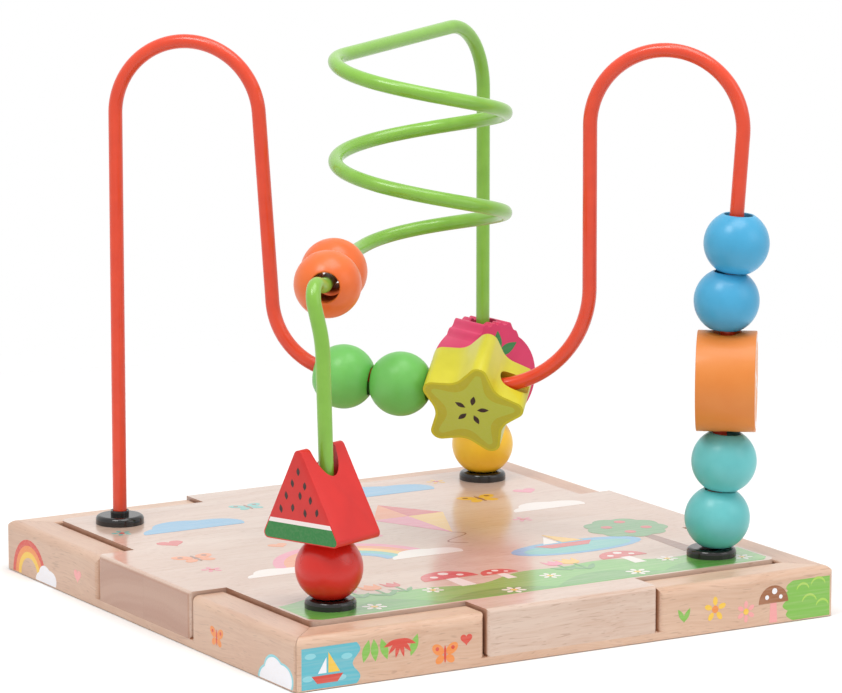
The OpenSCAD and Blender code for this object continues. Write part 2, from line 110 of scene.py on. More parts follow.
def show_mesh(name, mesh, body, material):
    face_outwards(mesh)
    mesh.polygons.foreach_set("use_smooth", [True] * len(mesh.polygons))
    mesh.set_sharp_from_angle(angle=SHARP)
    mesh.materials.clear()
    mesh.materials.append(material)
    piece = bpy.data.objects.new(name, mesh)
    bpy.context.scene.collection.objects.link(piece)
    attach(piece, body)
    return piece


print("edges stay sharp above", round(math.degrees(SHARP)), "degrees")

# %% [markdown]
# ## Colours and nodes
# Colours are written as sRGB hex values, as a colour picker shows them, and one function turns them to the
# linear values that the shader needs. One function adds a node with its settings, values and links.

# %% Colour and node helpers


def linear(colour):
    channels = [int(colour[i:i + 2], 16) / 255 for i in (1, 3, 5)]
    return [c / 12.92 if c <= 0.04045 else ((c + 0.055) / 1.055) ** 2.4 for c in channels] + [1.0]


def add(tree, kind, values=None, links=None, **settings):
    node = tree.nodes.new(kind)
    for key, value in settings.items():
        setattr(node, key, value)
    for key, value in (values or {}).items():
        node.inputs[key].default_value = value
    for key, socket in (links or {}).items():
        tree.links.new(socket, node.inputs[key])
    return node


def start_material(name, **sockets):
    """A new material with its shader's uniform values set on the shader itself."""
    material = bpy.data.materials.new(name)
    material.use_nodes = True
    shader = material.node_tree.nodes["Principled BSDF"]
    for key, value in sockets.items():
        shader.inputs[key.replace("_", " ")].default_value = value
    return material, material.node_tree, shader


print("mid grey in linear light:", round(linear("#808080")[0], 3))

# %% [markdown]
# ## Gloss paint on turned beads
# The beads are turned from a light hardwood, sanded, dipped in a water-based gloss paint and dried on racks.
# To the eye that is one strong colour with a soft sheen, a slight mottling where the coat is thicker, and a
# very shallow orange peel. The mottling is about 11 mm across and the peel about 0.9 mm, drawn a little
# coarser than the real 0.3 mm so that it shows. In a bore the paint dries dull, so each colour has a second
# material without the gloss for that.

# %% Bead paint
MOTTLE = 11 * MM
PEEL = 0.9 * MM
PEEL_DEPTH = 0.1 * MM


def bead_paint(name, colour, deep, roughness, coat=0.12):
    material, tree, shader = start_material(name, IOR=1.45, Coat_Weight=coat, Coat_Roughness=0.16)
    place = add(tree, "ShaderNodeTexCoord").outputs["Object"]
    mottle = add(tree, "ShaderNodeTexNoise", {"Scale": 1 / MOTTLE, "Detail": 3.0}, {"Vector": place})
    tone = add(tree, "ShaderNodeValToRGB", links={"Fac": mottle.outputs["Fac"]})
    tone.color_ramp.elements[0].position = 0.3
    tone.color_ramp.elements[0].color = linear(deep)
    tone.color_ramp.elements[1].position = 0.66
    tone.color_ramp.elements[1].color = linear(colour)
    tree.links.new(tone.outputs["Color"], shader.inputs["Base Color"])
    sheen = add(tree, "ShaderNodeMapRange", {3: roughness - 0.05, 4: roughness + 0.07},
                {0: mottle.outputs["Fac"]})
    tree.links.new(sheen.outputs[0], shader.inputs["Roughness"])
    peel = add(tree, "ShaderNodeTexNoise", {"Scale": 1 / PEEL, "Detail": 1.0}, {"Vector": place})
    bump = add(tree, "ShaderNodeBump", {"Strength": 0.05, "Distance": PEEL_DEPTH},
               {"Height": peel.outputs["Fac"]})
    tree.links.new(bump.outputs["Normal"], shader.inputs["Normal"])
    return material


BALL_PAINTS = {
    "turquoise_paint": ("#69c4c6", "#61bcbe", 0.34),
    "blue_paint": ("#46a7d3", "#3e9fca", 0.34),
    "red_paint": ("#d8271b", "#ce2217", 0.28),
    "yellow_paint": ("#fac92f", "#f2be26", 0.34),
    "orange_paint": ("#ea6f2c", "#e16523", 0.34),
    "green_paint": ("#73c55f", "#6bbd57", 0.4),
}
outsides = {slot: bead_paint(slot + "_gloss", colour, deep, roughness)
            for slot, (colour, deep, roughness) in BALL_PAINTS.items()}
bores = {slot: bead_paint(slot + "_in_bore", colour, deep, 0.7, 0.0)
         for slot, (colour, deep, roughness) in BALL_PAINTS.items()}
print("ball paints:", len(outsides))

# %% [markdown]
# ## Round balls
# A ball is a surface of revolution with a bore through it. The bore's mouths are rounded over, as sanding
# leaves them. Its outline is a closed ring in the half plane of radius and height, turned round the wire's
# direction. A UV sphere with a hole cut in it would have a ragged mouth, so the ring is the better way.

# %% Turned outline
BALL_R = 12.5
BORE_R = 5.5
MOUTH_R = 0.4
BALL_STEPS = 40
MOUTH_STEPS = 6


def ring_of(outline, steps=72):
    verts = [(r * math.cos(2 * math.pi * k / steps), r * math.sin(2 * math.pi * k / steps), z)
             for r, z in outline for k in range(steps)]
    count = len(outline)
    faces = [(i * steps + k, i * steps + (k + 1) % steps,
              (i + 1) % count * steps + (k + 1) % steps, (i + 1) % count * steps + k)
             for i in range(count) for k in range(steps)]
    return verts, faces


def ball_outline():
    """The ball's arc, a rounded mouth, the bore and the other mouth. The mouth's circle touches both."""
    middle_r = BORE_R + MOUTH_R
    middle_z = math.sqrt((BALL_R - MOUTH_R) ** 2 - middle_r ** 2)
    edge = math.atan2(middle_z, middle_r)
    around = [edge * (2 * k / BALL_STEPS - 1) for k in range(BALL_STEPS + 1)]
    inwards = [edge + (math.pi - edge) * k / MOUTH_STEPS for k in range(1, MOUTH_STEPS + 1)]
    skin = [(BALL_R * math.cos(a), BALL_R * math.sin(a)) for a in around]
    mouth = [(middle_r + MOUTH_R * math.cos(a), middle_z + MOUTH_R * math.sin(a)) for a in inwards]
    return skin + mouth + [(r, -z) for r, z in reversed(mouth)]


print("points in a ball's outline:", len(ball_outline()))

# %% Balls


def make_ball(body, slot):
    middle, direction = bead_place(body)
    piece = make_piece(body + "_turned", *ring_of(ball_outline()), body, slot, outsides[slot],
                       Matrix.Translation(middle) @ stand_along(direction))
    piece.data.materials.append(bores[slot])
    for face in piece.data.polygons:
        out = Vector(face.center) / MM - middle
        if (out - out.dot(direction) * direction).length < BORE_R:
            face.material_index = 1
    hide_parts(body)


BALLS = [
    ("turquoise_ball_lower", "turquoise_paint"), ("turquoise_ball_upper", "turquoise_paint"),
    ("blue_ball_lower", "blue_paint"), ("blue_ball_upper", "blue_paint"),
    ("red_ball", "red_paint"), ("yellow_ball", "yellow_paint"),
    ("orange_ball_front", "orange_paint"), ("orange_ball_rear", "orange_paint"),
    ("green_ball_left", "green_paint"), ("green_ball_right", "green_paint"),
]
for body, slot in BALLS:
    make_ball(body, slot)
print("balls:", len(BALLS))

# %% [markdown]
# ## Powder-coated wires
# Both wires are steel rod, bent on formers and powder coated. The coat melts to a smooth, rather glossy skin
# with a faint ripple. The CAD model gives the red wire as arcs and straights, and the green one as a sweep.
# Here both become a fine tube along the same route, so that highlights run along them without a break. A
# curve with a round bevel would do as well, but a mesh of rings keeps the CAD model's points as they are.

# %% Wire coat
RIPPLE = 6 * MM
RIPPLE_DEPTH = 0.15 * MM


def powder_coat(name, colour, deep):
    material, tree, shader = start_material(name, IOR=1.45, Coat_Weight=0.35, Coat_Roughness=0.1)
    place = add(tree, "ShaderNodeTexCoord").outputs["Object"]
    ripple = add(tree, "ShaderNodeTexNoise", {"Scale": 1 / RIPPLE, "Detail": 2.0}, {"Vector": place})
    ramp = add(tree, "ShaderNodeValToRGB", links={"Fac": ripple.outputs["Fac"]})
    ramp.color_ramp.elements[0].position = 0.25
    ramp.color_ramp.elements[0].color = linear(deep)
    ramp.color_ramp.elements[1].position = 0.7
    ramp.color_ramp.elements[1].color = linear(colour)
    tree.links.new(ramp.outputs["Color"], shader.inputs["Base Color"])
    gloss = add(tree, "ShaderNodeMapRange", {3: 0.26, 4: 0.34}, {0: ripple.outputs["Fac"]})
    tree.links.new(gloss.outputs[0], shader.inputs["Roughness"])
    bump = add(tree, "ShaderNodeBump", {"Strength": 0.03, "Distance": RIPPLE_DEPTH},
               {"Height": ripple.outputs["Fac"]})
    tree.links.new(bump.outputs["Normal"], shader.inputs["Normal"])
    return material


red_coat = powder_coat("red_powder_coat", "#e5451f", "#dd3e1a")
green_coat = powder_coat("green_powder_coat", "#84ba40", "#7cb238")
print("wire coats made")

# %% [markdown]
# ### The red wire's route
# The route is a list of bends in the upright plane through the left and right feet: a middle, and a radius
# that is positive for a left turn and negative for a right one. Straight pieces touch one bend and the next.
# Points set by eye would leave the legs a little wavy, and a bent rod never is.

# %% Red wire's bends
FOOT_U = FOOT * math.sqrt(2)
SEAT = 12.0
COLLAR = 5.2
LEFT_ARCH_R, LEFT_ARCH_TOP = 29.0, 191.3
DIP_LEFT_R, DIP_LEFT_LOW, DIP_LEFT_SHARE = 28.5, 64.4, -0.228
DIP_RIGHT_R, DIP_RIGHT_LOW, DIP_RIGHT_SHARE = 39.6, 61.9, 0.258
RIGHT_ARCH_R, RIGHT_ARCH_TOP, RIGHT_ARCH_IN = 29.4, 193.2, 19.0
LEAN_R = 40.0
RED_BENDS = [
    ((-FOOT_U, -SEAT), 0.0),
    ((-FOOT_U + LEFT_ARCH_R, LEFT_ARCH_TOP - LEFT_ARCH_R), -LEFT_ARCH_R),
    ((DIP_LEFT_SHARE * FOOT_U, DIP_LEFT_LOW + DIP_LEFT_R), DIP_LEFT_R),
    ((DIP_RIGHT_SHARE * FOOT_U, DIP_RIGHT_LOW + DIP_RIGHT_R), DIP_RIGHT_R),
    ((FOOT_U - RIGHT_ARCH_IN, RIGHT_ARCH_TOP - RIGHT_ARCH_R), -RIGHT_ARCH_R),
    ((FOOT_U + LEAN_R, COLLAR), LEAN_R),
    ((FOOT_U, -SEAT), 0.0),
]
ARC_STEP = 1.2
print("bends in the red wire:", sum(1 for _, radius in RED_BENDS if radius))

# %% Red wire


def heading(a, b):
    (ax, az), ar = a
    (bx, bz), br = b
    return math.atan2(bz - az, bx - ax) + math.asin((ar - br) / math.hypot(bx - ax, bz - az))


def touch(bend, angle):
    (x, z), r = bend
    return x + r * math.sin(angle), z - r * math.cos(angle)


def red_route():
    headings = [heading(a, b) for a, b in zip(RED_BENDS, RED_BENDS[1:])]
    flat = [RED_BENDS[0][0]]
    for bend, before, after in zip(RED_BENDS[1:], headings, headings[1:]):
        steps = max(3, round(abs(bend[1] * (after - before)) / ARC_STEP))
        flat += [touch(bend, before + (after - before) * k / steps) for k in range(steps + 1)]
    flat.append(RED_BENDS[-1][0])
    half = math.sqrt(0.5)
    return [Vector((u * half, -u * half, z + BOARD_TOP)) for u, z in flat]


def tube(route, radius, sides=28):
    """Rings along a route. Each ring's side vector is carried on from the last, so the tube doesn't twist."""
    verts, side = [], Vector((1, 0, 0))
    for i, point in enumerate(route):
        ahead = (route[min(i + 1, len(route) - 1)] - route[max(i - 1, 0)]).normalized()
        side = (side - side.dot(ahead) * ahead).normalized()
        up = ahead.cross(side)
        verts += [point + radius * (math.cos(a) * side + math.sin(a) * up)
                  for a in [2 * math.pi * k / sides for k in range(sides)]]
    faces = [(i * sides + k, i * sides + (k + 1) % sides,
              (i + 1) * sides + (k + 1) % sides, (i + 1) * sides + k)
             for i in range(len(route) - 1) for k in range(sides)]
    last = (len(route) - 1) * sides
    return verts, faces + [tuple(range(sides)), tuple(last + k for k in reversed(range(sides)))]


red_wire = make_piece("red_wire_tube", *tube(red_route(), WIRE_R), "base", "red_wire_coat", red_coat)
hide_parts("red_wire")
print("red wire points:", len(red_route()))

# %% [markdown]
# ### The green wire's route
# From the front foot the wire leans out to a knee, turns over a tight corner, runs in to the coil, climbs two
# turns and leaves for the back corner. The coil's end angles are where the two straight runs touch it. A
# smooth curve through a few points would be shorter to write, but its turns would not stay round.

# %% Green wire's coil
COIL_MIDDLE = Vector((3, -2))
COIL_R = 32.5
TUCK_R = 26.5
PITCH = 38.6
COIL_TOP = 187.0
EASE_TOP = 40.0
EASE_LOW = 30.0
TUCK_ANGLE = 120.0
RUN_SLOPE = 0.045
COIL_TILT = 2.8
FRONT_FOOT = Vector((-FOOT, -FOOT))
BACK_FOOT = Vector((FOOT, FOOT))
RUN_START = FRONT_FOOT + Vector((5.1, 13.3))
KNEE, KNEE_R = FRONT_FOOT.to_3d() + Vector((-2.2, 1.3, 98)), 60
CORNER, CORNER_R = FRONT_FOOT.to_3d() + Vector((-6.4, 3.7, 120)), 7
RUN_R = 16
BACK_BEND, BACK_R = BACK_FOOT.to_3d() + Vector((0, 0, 190)), 28
COIL_STEPS = 240


def touch_angle(point, radius, side):
    v = point - COIL_MIDDLE
    return math.degrees(math.atan2(v.y, v.x)) + side * math.degrees(math.acos(radius / v.length))


COIL_START = touch_angle(BACK_FOOT, COIL_R, 1)
COIL_SWEEP = 360 * 3 + touch_angle(RUN_START, TUCK_R, -1) - COIL_START
RISE = PITCH / 360


def coil_point(t):
    x = min(max((t - COIL_SWEEP + TUCK_ANGLE) / TUCK_ANGLE, 0), 1)
    r = COIL_R - (COIL_R - TUCK_R) * x * x * (3 - 2 * x)
    start, last = min(t, EASE_TOP), max(t - COIL_SWEEP + EASE_LOW, 0)
    height = COIL_TOP - RISE * (start ** 2 / (2 * EASE_TOP) + max(t - EASE_TOP, 0))
    height += (RISE + RUN_SLOPE * TUCK_R * math.pi / 180) * last ** 2 / (2 * EASE_LOW)
    a = math.radians(COIL_START + t)
    fade = min(max(min(t / EASE_TOP, (COIL_SWEEP - t) / EASE_LOW), 0), 1)
    height -= math.tan(math.radians(COIL_TILT)) * fade * r * (math.cos(a) + math.sin(a)) / math.sqrt(2)
    return Vector((COIL_MIDDLE.x + r * math.cos(a), COIL_MIDDLE.y + r * math.sin(a), height))


print("turns in the coil:", round(COIL_SWEEP / 360, 2))

# %% Green wire


def rounded_corner(a, b, c, radius, count):
    u, v = (a - b).normalized(), (c - b).normalized()
    half = math.acos(u.dot(v)) / 2
    middle = b + (u + v).normalized() * radius / math.sin(half)
    p, q = b + u * radius / math.tan(half) - middle, b + v * radius / math.tan(half) - middle
    sweep = math.pi - 2 * half
    return [middle + (p * math.sin((1 - share) * sweep) + q * math.sin(share * sweep)) / math.sin(sweep)
            for share in [i / count for i in range(count + 1)]]


def green_route():
    seat = FRONT_FOOT.to_3d() + Vector((0, 0, (COLLAR - SEAT) / 2))
    low = coil_point(COIL_SWEEP)
    run = RUN_START.to_3d()
    run.z = low.z + RUN_SLOPE * (RUN_START - low.to_2d()).length
    up = (KNEE - seat).normalized()
    route = [seat + up * (-SEAT - seat.z) / up.z]
    route += rounded_corner(seat, KNEE, CORNER, KNEE_R, 10)
    route += rounded_corner(KNEE, CORNER, run, CORNER_R, 14)
    route += rounded_corner(CORNER, run, low, RUN_R, 8)
    route += [coil_point(COIL_SWEEP * (1 - k / COIL_STEPS)) for k in range(1, COIL_STEPS + 1)]
    route += rounded_corner(coil_point(0), BACK_BEND, BACK_FOOT.to_3d(), BACK_R, 20)
    route.append(BACK_FOOT.to_3d() - Vector((0, 0, SEAT)))
    return [p + Vector((0, 0, BOARD_TOP)) for p in route]


green_wire = make_piece("green_wire_tube", *tube(green_route(), WIRE_R), "base", "green_wire_coat",
                        green_coat)
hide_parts("green_wire")
print("green wire points:", len(green_route()))

# %% [markdown]
# ## Sawn and sanded beads
# The disc, the wedge, the star and the fruit are sawn from a board, drilled, and sanded at the edges. Each is
# an outline given a thickness, with the bore cut by a Boolean modifier and the edges rounded by a Bevel
# modifier. Modelling the edge of each bore by hand would take longer and come out less true. Their faces
# carry a printed picture, and the printing is laid on afterwards as thin skins of ink.

# %% Outlines


def around(middle, radius, degrees):
    a = math.radians(degrees)
    return middle[0] + radius * math.cos(a), middle[1] + radius * math.sin(a)


def arc(middle, radius, start, end, count):
    return [around(middle, radius, start + (end - start) * k / count) for k in range(count + 1)]


def disc(x, z, radius, count):
    return arc((x, z), radius, 0, 360 - 360 / count, count - 1)


def prism(outline, low, high):
    """An outline in x and z, given a thickness along y."""
    count = len(outline)
    verts = [(x, y, z) for y in (low, high) for x, z in outline]
    sides = [(k, (k + 1) % count, count + (k + 1) % count, count + k) for k in range(count)]
    return verts, sides + [tuple(reversed(range(count))), tuple(range(count, 2 * count))]


print("faces of a prism of four sides:", len(prism(disc(0, 0, 1, 4), 0, 1)[1]))

# %% Sawing, drilling and sanding
EDGE_ANGLE = math.radians(38)
DRILL_OVERRUN = 4


def apply_modifiers(piece):
    shape = bpy.data.meshes.new_from_object(piece.evaluated_get(bpy.context.evaluated_depsgraph_get()))
    bpy.data.objects.remove(piece)
    return shape


def loose_mesh(name, verts, faces, place):
    mesh = write_mesh(name, verts, faces, place)
    face_outwards(mesh)
    piece = bpy.data.objects.new(name, mesh)
    bpy.context.scene.collection.objects.link(piece)
    return piece


def sawn_bead(body, material, outline, thickness, place, bore_along, soft, bore_r=BORE_R):
    """Cuts the bore along a local line, given as its middle, its direction and its half length."""
    blank = loose_mesh(body + "_blank", *prism(outline, -thickness / 2, thickness / 2), place)
    middle, direction, half = bore_along
    aim = Vector((0, 1, 0)).rotation_difference(Vector(direction)).to_matrix().to_4x4()
    drill = loose_mesh(body + "_drill", *prism(disc(0, 0, bore_r, 48), -half, half),
                       place @ Matrix.Translation(middle) @ aim)
    cut = blank.modifiers.new("bore", "BOOLEAN")
    cut.object = drill
    cut.operation = "DIFFERENCE"
    cut.solver = "EXACT"
    ease = blank.modifiers.new("sanded", "BEVEL")
    ease.width = soft * MM
    ease.segments = 3
    ease.limit_method = "ANGLE"
    ease.angle_limit = EDGE_ANGLE
    shape = apply_modifiers(blank)
    bpy.data.objects.remove(drill)
    shape.name = body + "_sawn"
    piece = show_mesh(body + "_sawn", shape, body, material)
    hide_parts(body)


print("edges sharper than", round(math.degrees(EDGE_ANGLE)), "degrees will be sanded")

# %% [markdown]
# ## Printing ink
# Pictures are screen printed on the sawn faces and on the base: flat colours, a hair's breadth thick. Each
# colour is one mesh of thin closed skins that reach a little into the wood, so nothing flickers. A shape that
# lies on another is one layer higher, and neighbours in a list differ by a fraction of a layer, because two
# faces in one plane would shade each other. The ink is thin over the hard parts of the grain, so it is drawn
# with faint fibres 1 mm wide, about twice their real width.

# %% Ink
FIBRE_DRAW = 22
BARE_WOOD = linear("#e8d2c0")


def print_ink(name, colour, coat=0.12, coat_roughness=0.16, thin=0.03):
    material, tree, shader = start_material(name, IOR=1.45, Coat_Weight=coat, Coat_Roughness=coat_roughness)
    place = add(tree, "ShaderNodeTexCoord").outputs["Object"]
    drawn = add(tree, "ShaderNodeMapping", {"Scale": (1 / FIBRE_DRAW, 1, 1)}, {"Vector": place})
    fibre = add(tree, "ShaderNodeTexNoise", {"Scale": 1 / MM, "Detail": 2.0}, {"Vector": drawn.outputs[0]})
    tone = add(tree, "ShaderNodeValToRGB", links={"Fac": fibre.outputs["Fac"]})
    tone.color_ramp.elements[0].position = 0.34
    tone.color_ramp.elements[0].color = [c + thin * (w - c) for c, w in zip(linear(colour), BARE_WOOD)]
    tone.color_ramp.elements[1].position = 0.56
    tone.color_ramp.elements[1].color = linear(colour)
    tree.links.new(tone.outputs[0], shader.inputs["Base Color"])
    sheen = add(tree, "ShaderNodeMapRange", {3: 0.36, 4: 0.48}, {0: fibre.outputs["Fac"]})
    tree.links.new(sheen.outputs[0], shader.inputs["Roughness"])
    return material


seed_brown = print_ink("dark_seed_ink", "#2c120b")
pith_white = print_ink("white_pith_ink", "#f1e4e2")
print("first inks:", seed_brown.name, pith_white.name)

# %% Laying ink
INK = 0.02
BED = 0.1


def lay_ink(name, shapes, material, body, slot, faces_of):
    """Shapes are pairs of a layer and an outline. A face is given by its frame, with the outside along -y."""
    verts, faces = [], []
    for place in faces_of:
        for k, (layer, outline) in enumerate(shapes):
            skin, sides = prism(outline, -INK * (layer + 1 + k % 7 / 8), BED)
            faces += [tuple(len(verts) + corner for corner in side) for side in sides]
            verts += [place @ Vector(v) for v in skin]
    make_piece(name, verts, faces, body, slot, material)


def both_faces(place, thickness):
    """The front face's frame, and its mirror image for the back face, so that one outline fits both."""
    out = Matrix.Translation((0, -thickness / 2, 0))
    return [place @ out, place @ Matrix.Scale(-1, 4, (0, 1, 0)) @ out]


print("a layer of ink, in mm:", INK)

# %% Seeds and leaves


def leaned(x, z, lean, points):
    c, s = math.cos(math.radians(lean)), math.sin(math.radians(lean))
    return [(x + u * c - v * s, z + u * s + v * c) for u, v in points]


def almond(x, z, length, width, lean, count=8):
    """A pointed oval, for seeds, leaves and petals."""
    half = [(length * (k / count - 0.5), width / 2 * math.sin(math.pi * k / count)) for k in range(count + 1)]
    return leaned(x, z, lean, half + [(u, -v) for u, v in reversed(half[1:-1])])


def spray(x, z, reach, length, width, leans):
    """Pointed ovals set round a middle, each at its own angle and pointing outwards."""
    return [almond(*around((x, z), reach, lean), length, width, lean) for lean in leans]


print("points in a seed's outline:", len(almond(0, 0, 2, 1, 0)))

# %% [markdown]
# ## The orange disc
# A thick slice of a round rod, threaded across its diameter. Its rim is painted orange, and its faces carry
# a plain citrus slice: a white ring with eight segments. It could be turned like the balls, but its bore runs
# across it, so it is made like the other sawn beads.

# %% Disc
orange_rim = bead_paint("disc_gloss_paint", "#e0863a", "#dd8032", 0.44)
disc_middle, upright = bead_place("orange_disc")
DISC_R = 19.25
DISC_T = 22.5
DISC_FACING = -36.5
DISC_SANDED = 1.4
PITH_R = 18.1
SEGMENT_IN, SEGMENT_OUT, SEGMENT_HALF = 2.6, 15.2, 19
disc_place = Matrix.Translation(disc_middle) @ stand_along(upright) @ turn(DISC_FACING - 90, "Z")
sawn_bead("orange_disc", orange_rim, disc(0, 0, DISC_R, 96), DISC_T, disc_place,
          ((0, 0, 0), (0, 0, 1), DISC_R + DRILL_OVERRUN), DISC_SANDED)
segment_orange = print_ink("orange_segment_ink", "#ee9430")
segments = [(1, arc((0, 0), SEGMENT_IN, a, a + 1, 1)
             + arc((0, 0), SEGMENT_OUT, a + SEGMENT_HALF, a - SEGMENT_HALF, 10)) for a in range(0, 360, 45)]
disc_faces = both_faces(disc_place, DISC_T)
for name, shapes, ink in (("disc_pith_print", [(0, disc(0, 0, PITH_R, 64))], pith_white),
                          ("disc_segment_print", segments, segment_orange)):
    lay_ink(name, shapes, ink, "orange_disc", "disc_paint", disc_faces)
print("disc made, its bore's rise:", round(upright.z, 3))

# %% [markdown]
# ## The melon wedge
# A triangle with rounded corners, drilled from its base to its point. The drill is wider than the point, so
# it leaves two horns by itself, and they need no modelling. Both faces are printed as a slice of melon: green
# rind, a pale line, red flesh and dark seeds.

# %% Melon wedge
WEDGE_W = 36.0
WEDGE_H = 34.0
WEDGE_T = 23.0
WEDGE_ROUND = 2.0
WEDGE_SANDED = 0.7
WEDGE_BORE_R = 6.75
WEDGE_FACING = 198.0
WEDGE_CORNERS = [(-WEDGE_W / 2 + WEDGE_ROUND, WEDGE_ROUND), (WEDGE_W / 2 - WEDGE_ROUND, WEDGE_ROUND),
                 (0.0, WEDGE_H - WEDGE_ROUND)]


def rounded_outline(corners, radius, count=6):
    """Corner circles of one radius, joined by tangents; the corners run anticlockwise."""
    points = []
    for before, here, after in zip(corners[-1:] + corners[:-1], corners, corners[1:] + corners[:1]):
        start = math.degrees(math.atan2(here[1] - before[1], here[0] - before[0])) - 90
        end = math.degrees(math.atan2(after[1] - here[1], after[0] - here[0])) - 90
        points += arc(here, radius, start, start + (end - start) % 360, count)
    return points


melon_red = bead_paint("melon_gloss_paint", "#d3221c", "#c91d18", 0.42)
wedge_foot, front_leg = bead_place("melon_wedge")
wedge_place = Matrix.Translation(wedge_foot) @ stand_along(front_leg) @ turn(WEDGE_FACING + 90, "Z")
sawn_bead("melon_wedge", melon_red, rounded_outline(WEDGE_CORNERS, WEDGE_ROUND), WEDGE_T,
          wedge_place, ((0, 0, WEDGE_H / 2), (0, 0, 1), WEDGE_H), WEDGE_SANDED, WEDGE_BORE_R)
print("wedge made, its bore's rise:", round(front_leg.z, 3))

# %% Melon print
RIND_H = 6.4
LINE_H = 8.0
PRINT_INSET = 0.4
SEED_L, SEED_W = 3.2, 1.6


def clip(outline, height, side):
    """The part of an outline below a height, with side 1, or above it, with side -1."""
    points = []
    for a, b in zip(outline, outline[1:] + outline[:1]):
        da, db = side * (height - a[1]), side * (height - b[1])
        if da >= 0:
            points.append(a)
        if da * db < 0:
            points.append((a[0] + da / (da - db) * (b[0] - a[0]), height))
    return points


slice_face = rounded_outline(WEDGE_CORNERS, WEDGE_ROUND - PRINT_INSET)
SEEDS = [(-9.2, 11.6, 98), (-3.4, 12.6, 84), (2.6, 11.2, 94), (8.4, 12.0, 80), (-6.4, 16.8, 95),
         (0.4, 17.4, 90), (5.4, 16.2, 84), (-3.2, 21.6, 96), (2.8, 21.2, 85), (-0.2, 26.2, 90)]
rind_green = print_ink("green_rind_ink", "#237a35")
wedge_faces = both_faces(wedge_place, WEDGE_T)
for name, outlines, ink in (
        ("wedge_rind_print", [clip(slice_face, RIND_H, 1)], rind_green),
        ("wedge_line_print", [clip(clip(slice_face, LINE_H, 1), RIND_H, -1)], pith_white),
        ("wedge_seed_print", [almond(x, z, SEED_L, SEED_W, lean) for x, z, lean in SEEDS], seed_brown)):
    lay_ink(name, [(0, outline) for outline in outlines], ink, "melon_wedge", "melon_paint", wedge_faces)
print("seeds on a face:", len(SEEDS))

# %% [markdown]
# ## The star
# A thick slice of star fruit: five arms, threaded across two of them above the middle. Ten corners and
# straight lines would look sharp, so arms and valleys are circles, joined by the same tangents as the red
# wire's bends. Each face is printed with the skin's olive edge, a paler five-armed heart and five seeds.

# %% Star
STAR_R = 20.6
STAR_TIP = 3.8
STAR_VALLEY = 8.0
STAR_WAIST = 14.2
STAR_TURN = -18.0
STAR_T = 22.5
STAR_LEAN = 27.0
STAR_DROP = 4.8
STAR_BORE_R = 4.3
STAR_SANDED = 0.9
SKIN_INSET = 1
HEART = (17.2, 1.4, 7.0, 9.6)
STAR_SEED_AT, STAR_SEED_L, STAR_SEED_W = 4.7, 4.6, 2.0


def star_shape(reach, tip, valley, waist):
    """Round arms and round valleys, joined by the lines that touch both."""
    rounds = []
    for i in range(10):
        far, radius = (reach - tip, tip) if i % 2 == 0 else (waist + valley, -valley)
        rounds.append((around((0, 0), far, 90 + STAR_TURN + 36 * i), radius))
    ways = [heading(rounds[i], rounds[(i + 1) % 10]) for i in range(10)]
    points = []
    for i in range(10):
        sweep = (ways[i] - ways[i - 1] + math.pi) % (2 * math.pi) - math.pi
        points += [touch(rounds[i], ways[i - 1] + sweep * k / 10) for k in range(11)]
    return points


star_yellow = bead_paint("star_gloss_paint", "#d6cd2f", "#cdc427", 0.38)
star_middle, star_wire = bead_place("yellow_star")
star_tilt = math.degrees(math.asin(star_wire.z))
star_place = (Matrix.Translation(star_middle) @ turn(-45, "Z") @ turn(-star_tilt, "Y") @ turn(STAR_LEAN, "X")
              @ Matrix.Translation((0, 0, -STAR_DROP)))
sawn_bead("yellow_star", star_yellow, star_shape(STAR_R, STAR_TIP, STAR_VALLEY, STAR_WAIST),
          STAR_T, star_place, ((0, 0, STAR_DROP), (1, 0, 0), STAR_R + DRILL_OVERRUN), STAR_SANDED,
          STAR_BORE_R)
print("star made, wire rises", round(star_tilt, 2))

# %% Star print
star_faces = both_faces(star_place, STAR_T)
star_skin = print_ink("olive_skin_ink", "#c2bc30")
star_heart = print_ink("pale_heart_ink", "#c2cb4b")
skin_outline = star_shape(STAR_R - SKIN_INSET, STAR_TIP - SKIN_INSET, STAR_VALLEY + SKIN_INSET,
                          STAR_WAIST - SKIN_INSET)
star_seeds = spray(0, 0, STAR_SEED_AT, STAR_SEED_L, STAR_SEED_W, [90 + STAR_TURN + 72 * k for k in range(5)])
for name, shapes, ink in (("star_skin_print", [(0, skin_outline)], star_skin),
                          ("star_heart_print", [(1, star_shape(*HEART))], star_heart),
                          ("star_seed_print", [(2, seed) for seed in star_seeds], seed_brown)):
    lay_ink(name, shapes, ink, "yellow_star", "star_paint", star_faces)
print("seeds on the star:", len(star_seeds))

# %% [markdown]
# ## The crowned fruit
# A round slice with a small toothed crown, like a pomegranate, bored down through the crown. A bevel would
# eat the small teeth, so their corners are cut in the outline itself. Each face is printed with a red berry,
# its pips and three leaves.

# %% Crowned fruit
FRUIT_R = 19.0
FRUIT_T = 21.0
CROWN_H = 4.0
FRUIT_FACING = -86.0
FOOT_HALF = 5.9
SHOULDER = 56.0
FRUIT_SANDED = 0.8
CROWN = [(0.5, 0.81), (0.41, 0.82), (0.33, 1.0), (0.2, 0.9), (0.08, 1.0), (0.0, 0.92)]


